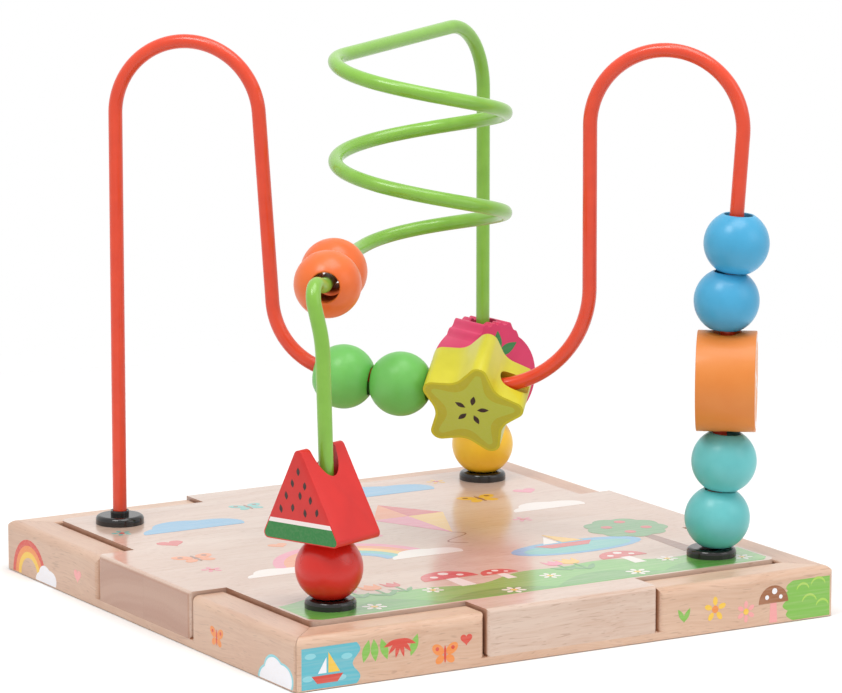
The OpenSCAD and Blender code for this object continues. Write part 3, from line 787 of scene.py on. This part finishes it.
def fruit_outline():
    """The round, then the crown's teeth with their corners cut three times over, as sanding leaves them."""
    bottom = math.degrees(math.atan2(-math.sqrt(FRUIT_R ** 2 - FOOT_HALF ** 2), FOOT_HALF))
    right = arc((0, 0), FRUIT_R, bottom, SHOULDER, 48)
    teeth = [(x * FRUIT_R, z * (FRUIT_R + CROWN_H)) for x, z in CROWN]
    teeth = right[-1:] + teeth + [(-x, z) for x, z in reversed(right[-1:] + teeth[:-1])]
    for _ in range(3):
        cut = [(a[0] + share * (b[0] - a[0]), a[1] + share * (b[1] - a[1]))
               for a, b in zip(teeth, teeth[1:]) for share in (0.25, 0.75)]
        teeth = teeth[:1] + cut[1:-1] + teeth[-1:]
    return right[:-1] + teeth + [(-x, z) for x, z in reversed(right[:-1])]


fruit_pink = bead_paint("fruit_gloss_paint", "#d83063", "#cf295b", 0.38)
fruit_middle, _ = bead_place("crowned_fruit")
fruit_place = Matrix.Translation(fruit_middle) @ turn(FRUIT_FACING + 90, "Z")
sawn_bead("crowned_fruit", fruit_pink, fruit_outline(), FRUIT_T, fruit_place,
          ((0, 0, 0), (0, 0, 1), FRUIT_R + CROWN_H + DRILL_OVERRUN), FRUIT_SANDED)
print("fruit made, points in its outline:", len(fruit_outline()))

# %% Fruit print
BERRY_Z, BERRY_R = -3, 11.5
LEAF_Z, LEAF_REACH, LEAF_RISE, LEAF_L, LEAF_W = 9.5, 5, 4.4, 11, 4.2
PIP_Z, PIP_AT, PIP_L, PIP_W = -3.6, 7.4, 2.0, 0.9
berry_red = print_ink("berry_red_ink", "#d3251f")
leaf_dark = print_ink("dark_leaf_ink", "#2b7a3c")
leaves = [almond(LEAF_REACH * math.cos(math.radians(a)), LEAF_Z + LEAF_RISE * math.sin(math.radians(a)),
                 LEAF_L, LEAF_W, a) for a in (25, 90, 155)]
pips = spray(0, PIP_Z, PIP_AT, PIP_L, PIP_W, range(170, 391, 44))
fruit_faces = both_faces(fruit_place, FRUIT_T)
for name, shapes, ink in (("fruit_berry_print", [(0, disc(0, BERRY_Z, BERRY_R, 48))], berry_red),
                          ("fruit_leaf_print", [(1, leaf) for leaf in leaves], leaf_dark),
                          ("fruit_pip_print", [(1, pip) for pip in pips], pith_white)):
    lay_ink(name, shapes, ink, "crowned_fruit", "pink_paint", fruit_faces)
print("leaves and pips on the fruit:", len(leaves), len(pips))

# %% [markdown]
# ## Rubberwood
# The base is rubberwood, a pale plantation wood, planed, sanded and lacquered. It shows soft growth bands,
# fine fibre and short brown pores along the grain. The texture is a solid one, in which everything is drawn
# out along the grain, so side faces show long grain, and end faces show rings and dots by themselves.
# Bands are about 7 mm apart, fibres 0.8 mm and pores 0.5 mm wide. Real pores are half of that and would not
# show. A wave texture would make the bands too even, so they are noise over the distance from the pith. The
# board is glued up from planks, and each plank is moved to another part of the same wood.

# %% Planks
PLANK_W = 47.0
PLANK_JUMP = (0.9, 0.06, 0.05)
SEAM_W = 0.35


def cut_into_planks(tree, place):
    """The moved place of each plank, and the dark seam along its edge."""
    parts = add(tree, "ShaderNodeSeparateXYZ", links={0: place})
    row = add(tree, "ShaderNodeMath", {1: 1 / (PLANK_W * MM)}, {0: parts.outputs["Y"]}, operation="MULTIPLY")
    number = add(tree, "ShaderNodeMath", links={0: row.outputs[0]}, operation="FLOOR")
    jump = add(tree, "ShaderNodeTexWhiteNoise", links={"W": number.outputs[0]}, noise_dimensions="1D")
    far = add(tree, "ShaderNodeVectorMath", {1: PLANK_JUMP}, {0: jump.outputs["Color"]}, operation="MULTIPLY")
    moved = add(tree, "ShaderNodeVectorMath", links={0: place, 1: far.outputs[0]}, operation="ADD")
    inside = add(tree, "ShaderNodeMath", links={0: row.outputs[0]}, operation="FRACT")
    seam = add(tree, "ShaderNodeMapRange", {1: 0.0, 2: SEAM_W / PLANK_W, 3: 0.45, 4: 0.0},
               {0: inside.outputs[0]})
    return moved.outputs[0], seam.outputs[0]


print("planks across the board:", 2 * math.ceil(HALF_SIDE / PLANK_W))

# %% Wood figure
BAND = 7 * MM
FIBRE_W, FIBRE_L = 0.8, 34
PORE_W, PORE_L = 0.5, 6
BLOTCH = 45 * MM
WARP, SWAY = 70 * MM, 16 * MM
RING_DRAW = 0.05


def wood_figure(tree, place, pith):
    """Bands round the pith, fibres, pores and blotches, each as a value. The grain runs along X here."""
    warp = add(tree, "ShaderNodeTexNoise", {"Scale": 1 / WARP, "Detail": 2.0}, {"Vector": place})
    sway = add(tree, "ShaderNodeVectorMath", {1: (0, SWAY, SWAY)}, {0: warp.outputs["Color"]},
               operation="MULTIPLY")
    swayed = add(tree, "ShaderNodeVectorMath", links={0: place, 1: sway.outputs[0]}, operation="ADD")
    grain = swayed.outputs[0]
    off_pith = (0, -pith[0] * MM, -pith[1] * MM)
    across = add(tree, "ShaderNodeMapping", {"Location": off_pith, "Scale": (RING_DRAW, 1, 1)},
                 {"Vector": grain})
    far_out = add(tree, "ShaderNodeVectorMath", links={0: across.outputs[0]}, operation="LENGTH")
    band = add(tree, "ShaderNodeTexNoise", {"Scale": 1 / BAND, "Detail": 2.0, "Roughness": 0.6},
               {"W": far_out.outputs["Value"]}, noise_dimensions="1D")
    fibre_map = add(tree, "ShaderNodeMapping", {"Scale": (1 / FIBRE_L, 1 / FIBRE_W, 1 / FIBRE_W)},
                    {"Vector": grain})
    fibre = add(tree, "ShaderNodeTexNoise", {"Scale": 1 / MM, "Detail": 3.0, "Roughness": 0.6},
                {"Vector": fibre_map.outputs[0]})
    pore_map = add(tree, "ShaderNodeMapping", {"Scale": (1 / PORE_L, 1 / PORE_W, 1 / PORE_W)},
                   {"Vector": grain})
    pore = add(tree, "ShaderNodeTexNoise", {"Scale": 1 / MM, "Detail": 0.0}, {"Vector": pore_map.outputs[0]})
    blotch = add(tree, "ShaderNodeTexNoise", {"Scale": 1 / BLOTCH, "Detail": 3.0}, {"Vector": grain})
    return [figure.outputs["Fac"] for figure in (band, fibre, pore, blotch)]


print("a fibre is drawn out", round(FIBRE_L / FIBRE_W), "times along the grain")

# %% Rubberwood material
GRAIN_RELIEF = 0.15 * MM


def rubberwood(name, along, pale, warm, end, pith, lacquer, planks=False):
    """The grain runs along X or Y. The pith is the rings' middle across it, in mm."""
    coat, coat_roughness = lacquer
    material, tree, shader = start_material(name, IOR=1.45, Coat_Weight=coat, Coat_Roughness=coat_roughness)
    place, seam = add(tree, "ShaderNodeTexCoord").outputs["Object"], None
    end_axis = (1, 0, 0)
    if along == "Y":
        end_axis = (0, 1, 0)
        place = add(tree, "ShaderNodeVectorRotate", {"Angle": math.radians(-90)}, {"Vector": place},
                    rotation_type="Z_AXIS").outputs[0]
    if planks:
        place, seam = cut_into_planks(tree, place)
    band, fibre, pore, blotch = wood_figure(tree, place, pith)
    facing = add(tree, "ShaderNodeNewGeometry").outputs["Normal"]
    facing_end = add(tree, "ShaderNodeVectorMath", {1: end_axis}, {0: facing}, operation="DOT_PRODUCT")
    size = add(tree, "ShaderNodeMath", links={0: facing_end.outputs["Value"]}, operation="ABSOLUTE")
    cut_face = add(tree, "ShaderNodeMapRange", {1: 0.7, 2: 0.95, 3: 0.0, 4: 0.8}, {0: size.outputs[0]})
    ringed = add(tree, "ShaderNodeMapRange", {1: 0.0, 2: 0.8, 3: 0.5, 4: 0.9}, {0: cut_face.outputs[0]})
    cloudy = add(tree, "ShaderNodeMix", links={0: ringed.outputs[0], 2: blotch, 3: band})
    mixed = add(tree, "ShaderNodeMix", {0: 0.4}, {2: cloudy.outputs[0], 3: fibre})
    tone = add(tree, "ShaderNodeValToRGB", links={"Fac": mixed.outputs[0]})
    tone.color_ramp.elements[0].position = 0.36
    tone.color_ramp.elements[0].color = linear(warm)
    tone.color_ramp.elements[1].position = 0.6
    tone.color_ramp.elements[1].color = linear(pale)
    ends = add(tree, "ShaderNodeMix", {7: linear(end)}, {0: cut_face.outputs[0], 6: tone.outputs[0]},
               data_type="RGBA", blend_type="MULTIPLY")
    speck = add(tree, "ShaderNodeMapRange", {1: 0.67, 2: 0.76, 3: 0.0, 4: 0.4}, {0: pore})
    colour = add(tree, "ShaderNodeMix", {7: linear("#a07c66")}, {0: speck.outputs[0], 6: ends.outputs[2]},
                 data_type="RGBA")
    if planks:
        colour = add(tree, "ShaderNodeMix", {7: linear("#8f6547")}, {0: seam, 6: colour.outputs[2]},
                     data_type="RGBA")
    tree.links.new(colour.outputs[2], shader.inputs["Base Color"])
    sheen = add(tree, "ShaderNodeMapRange", {3: 0.38, 4: 0.56}, {0: fibre})
    tree.links.new(sheen.outputs[0], shader.inputs["Roughness"])
    relief = add(tree, "ShaderNodeMath", links={0: fibre, 1: speck.outputs[0]}, operation="SUBTRACT")
    bump = add(tree, "ShaderNodeBump", {"Strength": 0.12, "Distance": GRAIN_RELIEF},
               {"Height": relief.outputs[0]})
    tree.links.new(bump.outputs["Normal"], shader.inputs["Normal"])
    return material


print("relief of the grain, in mm:", round(GRAIN_RELIEF / MM, 2))

# %% Base in wood
RAIL_LACQUER = (0.7, 0.3)
BOARD_LACQUER = (1.0, 0.15)
rail_wood_x = rubberwood("rubberwood_rail_long", "X", "#d8b69d", "#c89f83", "#d9b49a", (40, -30),
                         RAIL_LACQUER)
# Painted shade: the left and right rails' wood is drawn darker than the same rubberwood on the front and back
# rails. The darker wood stands in for the shade on the left rail's outer face.
rail_wood_y_painted_shade = rubberwood("rubberwood_rail_cross_painted_shade", "Y", "#d0ad94", "#bf957b", "#d9b49a", (-30, -46),
                         RAIL_LACQUER)
board_wood = rubberwood("rubberwood_board_lacquered", "X", "#d4bbaa", "#c6a48f", "#c99d80", (12, -40),
                        BOARD_LACQUER, planks=True)


def dress(node, material):
    cad = frame["nodes"][node]
    cad.data.materials.clear()
    cad.data.materials.append(material)


WOODS = {"front_rail": rail_wood_x, "back_rail": rail_wood_x, "left_rail": rail_wood_y_painted_shade,
         "right_rail": rail_wood_y_painted_shade, "play_board": board_wood, "corner_dowels": rail_wood_x}
for node, material in WOODS.items():
    dress(node, material)
print("nodes dressed in wood:", len(WOODS))

# %% [markdown]
# ## Shapes for the pictures
# The base is printed with a meadow scene for small children: plain flowers, toadstools, clouds, hearts, a
# rainbow, a pond with a boat, a kite and a tree. Every picture is built from a few outlines, and each outline
# goes on the list of its own colour, so that a whole face needs only one mesh for a colour. An outline's
# points are shares of the picture's size, so one outline serves for large and small ones. A painted texture
# would need an image, and outlines stay crisp from close by.

# %% Picture shapes
PUFF_LOW = 0.84


def at_size(x, z, size, points):
    return [(x + u * size, z + v * size) for u, v in points]


def oval(x, z, width, height, lean=0.0, count=24):
    return leaned(x, z, lean, [(width / 2 * u, height / 2 * v) for u, v in disc(0, 0, 1, count)])


def flower(inks, x, z, size, petal, eye, petals=6, layer=1):
    for way in [90 + 360 * k / petals for k in range(petals)]:
        u, v = around((x, z), 0.34 * size, way)
        inks[petal].append((layer, oval(u, v, 0.36 * size, 0.22 * size, way, 12)))
    inks[eye].append((layer + 1, disc(x, z, 0.15 * size, 12)))


def heart(inks, x, z, size, ink, layer=1):
    curve = [(math.sin(t) ** 3 / 2,
              (13 * math.cos(t) - 5 * math.cos(2 * t) - 2 * math.cos(3 * t) - math.cos(4 * t)) / 34)
             for t in [2 * math.pi * k / 32 for k in range(32)]]
    inks[ink].append((layer, at_size(x, z, size, curve)))


def cloud(inks, x, z, width, height, ink, layer=1):
    top = []
    for a in [math.pi * k / 48 for k in range(49)]:
        puff = PUFF_LOW + (1 - PUFF_LOW) * abs(math.sin(2.5 * a))
        top.append((x + width / 2 * math.cos(a) * puff / PUFF_LOW, z + height * math.sin(a) * puff))
    inks[ink].append((layer, top))


def rainbow(inks, x, z, radius, band, colours, layer=1):
    for k, ink in enumerate(colours):
        outer = radius - band * k
        inks[ink].append((layer, arc((x, z), outer, 0, 180, 36) + arc((x, z), outer - band, 180, 0, 36)))


print("sky shapes ready")

# %% Meadow and pond shapes
TOADSTOOL_STEM = [(-0.12, 0), (0.12, 0), (0.09, 0.6), (-0.09, 0.6)]
TOADSTOOL_SPOTS = [(-0.2, 0.66, 0.06), (0.03, 0.8, 0.08), (0.22, 0.64, 0.055)]
TULIP_STALK = [(-0.03, 0), (0.03, 0), (0.03, 0.62), (-0.03, 0.62)]
TULIP_RIM = [(0.2, 1.0), (0.1, 0.82), (0.0, 1.0), (-0.1, 0.82), (-0.2, 1.0)]
TULIP_BOWL = [(0.2 * math.cos(a), 0.72 + 0.18 * math.sin(a))
              for a in [math.pi * (1 + k / 10) for k in range(11)]]
BUTTERFLY_WINGS = [(0.27, 0.17, 0.5, 0.34, 35), (0.2, -0.17, 0.36, 0.26, -35)]
BOAT_HULL = [(-0.5, 0.22), (-0.32, 0), (0.32, 0), (0.5, 0.22)]
BOAT_SAIL = [(0.03, 0.28), (0.4, 0.28), (0.03, 0.86)]
BOAT_JIB = [(-0.03, 0.28), (-0.03, 0.72), (-0.3, 0.28)]


def toadstool(inks, x, z, size, cap, stem, spot, layer=2):
    inks[stem].append((layer, at_size(x, z, size, TOADSTOOL_STEM)))
    inks[cap].append((layer + 1, arc((x, z + 0.5 * size), 0.45 * size, 0, 180, 24)))
    for u, v, r in TOADSTOOL_SPOTS:
        inks[spot].append((layer + 2, disc(x + u * size, z + v * size, r * size, 12)))


def tulip(inks, x, z, size, cup, green, layer=2):
    blades = spray(x, z, 0.24 * size, 0.5 * size, 0.13 * size, (50, 130))
    inks[green] += [(layer, shape) for shape in [at_size(x, z, size, TULIP_STALK)] + blades]
    inks[cup].append((layer + 1, at_size(x, z, size, TULIP_RIM + TULIP_BOWL)))


def butterfly(inks, x, z, size, wing, spot, layer=1):
    for side in (-1, 1):
        for u, v, width, height, lean in BUTTERFLY_WINGS:
            inks[wing].append((layer, oval(x + side * u * size, z + v * size, width * size, height * size,
                                           side * lean, 16)))
        inks[spot].append((layer + 1, disc(x + side * 0.3 * size, z + 0.2 * size, 0.07 * size, 12)))
    inks[spot].append((layer + 1, oval(x, z, 0.09 * size, 0.6 * size, 0, 12)))


def boat(inks, x, z, size, hull, sail, jib, layer=2):
    for ink, outline in ((hull, BOAT_HULL), (sail, BOAT_SAIL), (jib, BOAT_JIB)):
        inks[ink].append((layer, at_size(x, z, size, outline)))


print("meadow and pond shapes ready")

# %% [markdown]
# ## The picture on the play board
# The picture stands upright for a child who sits at the front rail. The meadow runs along that rail, with its
# flowers, and the sky above it is the bare wood. Ink lies under the board's own lacquer, so it has the same
# gloss. Places and sizes in the pictures are in millimetres from the middle of the board.

# %% Meadow of the board picture
PRINT_COLOURS = {
    "meadow": "#62ad38", "hill": "#4c982c", "leaf": "#438e3f", "red": "#cb352e", "orange": "#e27f35",
    "yellow": "#e9b732", "blue": "#57a3cc", "teal": "#54b5ae", "pink": "#e07591", "white": "#ede4dd",
    "brown": "#85522f",
}
board_inks = {ink: [] for ink in PRINT_COLOURS}
EDGE, CORNER_FROM = 100.2, 96.6
HILL_FOOT = -99.4
HILLS = [(-86, -42, -84), (-46, 8, -89), (4, 56, -85), (50, 98, -88)]
DAISIES = [(-70, -92, 9), (-38, -80, 8), (-12, -95, 9), (12, -82, 8), (44, -93, 9), (66, -80, 8),
           (92, -92, 8)]
TULIPS = [(-66, -78, 17, "pink"), (-56, -80, 20, "orange"), (-47, -77, 16, "red"), (24, -78, 17, "pink"),
          (31, -80, 20, "yellow")]
TOADSTOOLS = [(-22, -80, 26), (-2, -78, 17), (54, -80, 22)]


def meadow_top(x):
    return -74 + 4.5 * math.sin(x / 17) + 2 * math.sin(x / 6.5 + 1)


grass = [(x, meadow_top(x)) for x in [EDGE - 2 * EDGE * k / 120 for k in range(121)]]
board_inks["meadow"].append((0, [(-CORNER_FROM, -EDGE), (CORNER_FROM, -EDGE), (EDGE, -CORNER_FROM)] + grass
                             + [(-EDGE, -CORNER_FROM)]))
for left, right, top in HILLS:
    brow = [(right + (left - right) * k / 24, HILL_FOOT + (top - HILL_FOOT) * math.sin(math.pi * k / 24))
            for k in range(1, 24)]
    board_inks["hill"].append((1, [(left, HILL_FOOT), (right, HILL_FOOT)] + brow))
for x, z, size in DAISIES:
    flower(board_inks, x, z, size, "white", "yellow", layer=2)
for x, z, size, cup in TULIPS:
    tulip(board_inks, x, z, size, cup, "leaf")
for x, z, size in TOADSTOOLS:
    toadstool(board_inks, x, z, size, "red", "white", "white")
print("meadow shapes:", sum(len(shapes) for shapes in board_inks.values()))

# %% Sky, pond, kite and tree of the board picture
WHITE_CLOUDS = [(-72, -29, 26, 11), (-8, -29, 28, 12), (78, 20, 30, 13)]
BLUE_CLOUDS = [(-62, 58, 40, 17), (34, 76, 44, 18)]
KITE, KITE_MIDDLE = [(20, 60), (36, 36), (20, 2), (4, 36)], (20, 36)
TREE = (82.5, -26)
TREE_R, TREE_PUFF = 15, 1.8
APPLES, APPLE_R = [(76, -22), (86, -16), (90, -29), (80, -33)], 2.3
rainbow(board_inks, -38, -26, 33, 4.2, ("pink", "orange", "yellow", "teal", "blue"))
for ink, clouds in (("white", WHITE_CLOUDS), ("blue", BLUE_CLOUDS)):
    for x, z, width, height in clouds:
        cloud(board_inks, x, z, width, height, ink, 2)
board_inks["blue"].append((1, oval(48, -44, 58, 22)))
board_inks["teal"].append((2, oval(48, -45, 48, 15)))
boat(board_inks, 46, -43, 26, "red", "yellow", "white", 3)
for k, ink in enumerate(("red", "yellow", "pink", "orange")):
    board_inks[ink].append((1, [KITE[k], KITE[(k + 1) % 4], KITE_MIDDLE]))
tail = [(20 + 5 * math.sin(k / 2.2) - 0.5 * k, 2 - 1.3 * k) for k in range(16)]
board_inks["brown"].append((1, [(x - 0.4, z) for x, z in tail] + [(x + 0.4, z) for x, z in reversed(tail)]))
board_inks["brown"].append((1, [(79, -72), (86, -72), (84.5, -36), (80.5, -36)]))
board_inks["leaf"].append((2, [around(TREE, TREE_R + TREE_PUFF * abs(math.sin(math.radians(4.5 * way))), way)
                               for way in range(0, 360, 5)]))
for x, z in APPLES:
    board_inks["red"].append((3, disc(x, z, APPLE_R, 16)))
print("shapes with the sky:", sum(len(shapes) for shapes in board_inks.values()))

# %% Small pictures, and printing the board
BUTTERFLIES = [(-88, 12, 17, "orange"), (-12, 14, 15, "pink"), (62, 50, 17, "yellow"), (-26, 84, 14, "teal")]
HEARTS = [(-84, 40, 11, "red"), (-30, 50, 9, "pink"), (8, 86, 9, "red"), (86, 54, 10, "pink"),
          (-50, 16, 8, "orange")]
LOOSE_FLOWERS = [(-92, -8, "pink"), (-20, 34, "yellow"), (-6, 62, "orange"), (56, 8, "pink"),
                 (64, 88, "yellow"), (-92, 66, "teal")]
THIN_INK = 0.1
for x, z, size, wing in BUTTERFLIES:
    butterfly(board_inks, x, z, size, wing, "brown")
for x, z, size, ink in HEARTS:
    heart(board_inks, x, z, size, ink)
for x, z, petal in LOOSE_FLOWERS:
    flower(board_inks, x, z, 8, petal, "red", 5)
BOARD_FACE = Matrix.Translation((0, 0, BOARD_TOP)) @ turn(-90, "X")
for ink, shapes in board_inks.items():
    lacquered = print_ink("lacquered_" + ink + "_ink", PRINT_COLOURS[ink], *BOARD_LACQUER, THIN_INK)
    lay_ink("board_print_" + ink, shapes, lacquered, "base", "board_wood", [BOARD_FACE])
print("board picture colours:", len(board_inks))

# %% [markdown]
# ## Pictures on the rails
# The two rails in front carry smaller pictures at their ends, on the same scale: a pond with a boat and red
# flowers, a bush with a toadstool, a rainbow and clouds. The rails' lacquer is duller than the board's.

# %% Left end of the front rail
RAIL_COLOURS = {
    "water": "#5bb5c4", "ripple": "#86ccd6", "leaf": "#7fb94a", "sprig": "#a9cf55", "red": "#d2402f",
    "orange": "#e88a3c", "yellow": "#efc23f", "pink": "#eda0a0", "white": "#eeedf2", "brown": "#9a5f38",
}
front_inks = {ink: [] for ink in RAIL_COLOURS}
shore = [(-92 + 1.6 * math.sin(k / 1.7), 0.4 + 15.2 * k / 16) for k in range(17)]
front_inks["water"].append((0, [(-114.6, 0.4)] + shore + [(-114.6, 15.6)]))
for x, z in ((-111, 12.5), (-96, 11), (-98.5, 3.5), (-112, 4.4)):
    front_inks["ripple"].append((1, oval(x, z, 4.6, 2.2)))
boat(front_inks, -104, 2.2, 13, "red", "yellow", "white")
for x, lean in ((-88, 74), (-84.5, 95), (-80.5, 108), (-68, 70)):
    front_inks["leaf"].append((0, almond(x, 11.6, 8.4, 3.2, lean)))
front_inks["red"] += [(1, petal) for petal in spray(-74, 14.6, 3.6, 7.2, 1.7, range(200, 341, 28))]
butterfly(front_inks, -55, 6.5, 11, "orange", "red")
heart(front_inks, -46, 11, 5, "red")
print("left end shapes:", sum(len(shapes) for shapes in front_inks.values()))

# %% Right end of the front rail
hedge = [(98.4 - 1.7 * abs(math.sin(k * math.pi / 8)) - 3.2 * math.sin(k * math.pi / 32),
          15.7 - 15.3 * k / 32) for k in range(33)]
front_inks["leaf"].append((0, [(115.4, 0.4), (115.4, 15.7)] + hedge))
for x, z, width in ((103, 11.5, 6), (110, 12.5, 7), (106, 6.4, 7), (112, 4.4, 6)):
    bow = arc((x, z), width / 2, 20, 160, 10)
    front_inks["sprig"].append((1, bow + [(u, v - 0.9) for u, v in reversed(bow)]))
toadstool(front_inks, 89.5, 0.6, 15, "brown", "pink", "white", 1)
flower(front_inks, 77, 6.2, 8, "pink", "yellow")
flower(front_inks, 63, 8.8, 9.5, "yellow", "orange", 5)
front_inks["leaf"] += [(1, blade) for blade in spray(49, 6, 2.4, 6, 2, (60, 120))]
print("front rail shapes:", sum(len(shapes) for shapes in front_inks.values()))

# %% Left rail, and printing both rails
SATIN = (0.3, 0.2)
left_inks = {ink: [] for ink in RAIL_COLOURS}
rainbow(left_inks, -97, 0.4, 14.5, 2.4, ("red", "orange", "yellow"), 0)
cloud(left_inks, -82, 0.4, 16, 7, "white", 1)
heart(left_inks, -55, 9, 6, "pink")
butterfly(left_inks, 58, 8, 10, "orange", "red")
cloud(left_inks, 103, 0.4, 21, 9.5, "white", 1)
cloud(left_inks, 103, 0.4, 23, 10.5, "ripple", 0)
FRONT_FACE = Matrix.Translation((0, -HALF_SIDE, 0))
LEFT_FACE = Matrix.Translation((-HALF_SIDE, 0, 0)) @ turn(-90, "Z")
for ink, colour in RAIL_COLOURS.items():
    satin = print_ink("satin_" + ink + "_ink", colour, *SATIN, THIN_INK)
    for side, inks, rail_face in (("front", front_inks, FRONT_FACE), ("left", left_inks, LEFT_FACE)):
        if inks[ink]:
            lay_ink(side + "_print_" + ink, inks[ink], satin, "base", "rail_wood", [rail_face])
print("left rail shapes:", sum(len(shapes) for shapes in left_inks.values()))

# %% [markdown]
# ## Ferrules and screws
# The ferrules are injection-moulded ABS in gloss black, with the faint flow marks of moulding. The screws
# under the base are zinc-plated steel, with a dull crystalline spangle. The CAD model has their shapes
# already, so its own pieces stay and only get a material.

# %% Ferrules
FLOW = 2.5 * MM
moulded_black, tree, shader = start_material("black_moulded_abs", IOR=1.54)
place = add(tree, "ShaderNodeTexCoord").outputs["Object"]
flow = add(tree, "ShaderNodeTexNoise", {"Scale": 1 / FLOW, "Detail": 2.0}, {"Vector": place})
tone = add(tree, "ShaderNodeValToRGB", links={"Fac": flow.outputs["Fac"]})
tone.color_ramp.elements[0].color = linear("#0f0c0b")
tone.color_ramp.elements[1].color = linear("#1a1614")
tree.links.new(tone.outputs[0], shader.inputs["Base Color"])
gloss = add(tree, "ShaderNodeMapRange", {3: 0.1, 4: 0.2}, {0: flow.outputs["Fac"]})
tree.links.new(gloss.outputs[0], shader.inputs["Roughness"])
for corner in ("front", "right", "back", "left"):
    dress(corner + "_ferrule", moulded_black)
print("ferrules dressed in", moulded_black.name)

# %% Screws
SPANGLE = 0.8 * MM
zinc, tree, shader = start_material("zinc_plated_steel", Metallic=1.0)
place = add(tree, "ShaderNodeTexCoord").outputs["Object"]
spangle = add(tree, "ShaderNodeTexVoronoi", {"Scale": 1 / SPANGLE}, {"Vector": place})
tone = add(tree, "ShaderNodeValToRGB", links={"Fac": spangle.outputs["Distance"]})
tone.color_ramp.elements[0].color = linear("#a9adb0")
tone.color_ramp.elements[1].color = linear("#c4c7c9")
tree.links.new(tone.outputs[0], shader.inputs["Base Color"])
gloss = add(tree, "ShaderNodeMapRange", {3: 0.3, 4: 0.45}, {0: spangle.outputs["Distance"]})
tree.links.new(gloss.outputs[0], shader.inputs["Roughness"])
dress("tab_screws", zinc)
print("screws dressed in", zinc.name)

# %% [markdown]
# ## Camera
# The photograph's camera was found from the base's corners: a long lens, far away, a little above the board.
# The camera and the lamps all look at one target, so one function places them by angle and distance.

# %% Camera
TARGET = Vector((4.476, 0, 96.1)) * MM
AZIMUTH, ELEVATION, DISTANCE = -30.756, 10.15, 1838.35 * MM
SENSOR_W, FOCAL_LENGTH = 36, 203.83


def face_target(thing, azimuth, elevation, distance):
    a, e = math.radians(azimuth), math.radians(elevation)
    away = Vector((math.sin(a) * math.cos(e), -math.cos(a) * math.cos(e), math.sin(e)))
    thing.location = TARGET + away * distance
    thing.rotation_euler = (-away).to_track_quat("-Z", "Y").to_euler()
    bpy.context.scene.collection.objects.link(thing)


lens = bpy.data.cameras.new("photo_camera")
lens.sensor_width = SENSOR_W
lens.lens = FOCAL_LENGTH
camera = bpy.data.objects.new("photo_camera", lens)
face_target(camera, AZIMUTH, ELEVATION, DISTANCE)
bpy.context.scene.camera = camera
print("camera", round(DISTANCE, 2), "m from its target")

# %% [markdown]
# ## Stage and light
# The photograph is a studio shot on white. The floor is a disc of white paper that takes the shadow and fades
# out into a white world. Three softboxes light the maze: one from the upper left for the highlights, a wide
# one from the right as a fill, and one overhead for the top of the board.

# %% Floor
FLOOR_R, FLOOR_DROP = 0.9, 0.0003
FADE_FROM, FADE_TO = 0.22, 0.6
paper, tree, shader = start_material("white_paper_floor", Roughness=0.9, Base_Color=linear("#fafaf9"),
                                     Specular_IOR_Level=0.1)
place = add(tree, "ShaderNodeTexCoord").outputs["Object"]
far = add(tree, "ShaderNodeVectorMath", links={0: place}, operation="LENGTH")
fade = add(tree, "ShaderNodeMapRange", {1: FADE_FROM, 2: FADE_TO, 3: 0.0, 4: 1.0}, {0: far.outputs["Value"]})
clear = add(tree, "ShaderNodeBsdfTransparent")
both = add(tree, "ShaderNodeMixShader", links={0: fade.outputs[0], 1: shader.outputs[0], 2: clear.outputs[0]})
tree.links.new(both.outputs[0], tree.nodes["Material Output"].inputs["Surface"])
floor_mesh = bpy.data.meshes.new("floor")
floor_mesh.from_pydata([(x, y, -FLOOR_DROP) for x, y in disc(0, 0, FLOOR_R, 64)], [], [tuple(range(64))])
floor_mesh.materials.append(paper)
floor = bpy.data.objects.new("floor", floor_mesh)
bpy.context.scene.collection.objects.link(floor)
print("floor", 2 * FLOOR_R, "m across")

# %% World and softboxes
WORLD_LIGHT = 0.64
SOFTBOXES = [("key_softbox", -70, 58, 1.4, 0.5, 6.5), ("fill_softbox", 35, 25, 1.7, 0.9, 2.8),
             ("top_softbox", 20, 76, 1.3, 0.8, 8.0)]
world = bpy.data.worlds.new("studio")
world.use_nodes = True
bpy.context.scene.world = world
tree = world.node_tree
path = add(tree, "ShaderNodeLightPath")
seen = add(tree, "ShaderNodeMath", operation="MAXIMUM",
           links={0: path.outputs["Is Camera Ray"], 1: path.outputs["Is Transmission Ray"]})
mirrored = add(tree, "ShaderNodeMath", operation="MAXIMUM",
               links={0: seen.outputs[0], 1: path.outputs["Is Glossy Ray"]})
strength = add(tree, "ShaderNodeMapRange", {3: WORLD_LIGHT, 4: 1.0}, {0: mirrored.outputs[0]})
tree.nodes["Background"].inputs["Color"].default_value = (1, 1, 1, 1)
tree.links.new(strength.outputs[0], tree.nodes["Background"].inputs["Strength"])
for name, azimuth, elevation, distance, width, power in SOFTBOXES:
    lamp = bpy.data.lights.new(name, "AREA")
    lamp.shape = "RECTANGLE"
    lamp.size = lamp.size_y = width
    lamp.energy = power
    face_target(bpy.data.objects.new(name, lamp), azimuth, elevation, distance)
bpy.context.scene.view_settings.view_transform = "Standard"
print("softboxes:", len(SOFTBOXES))
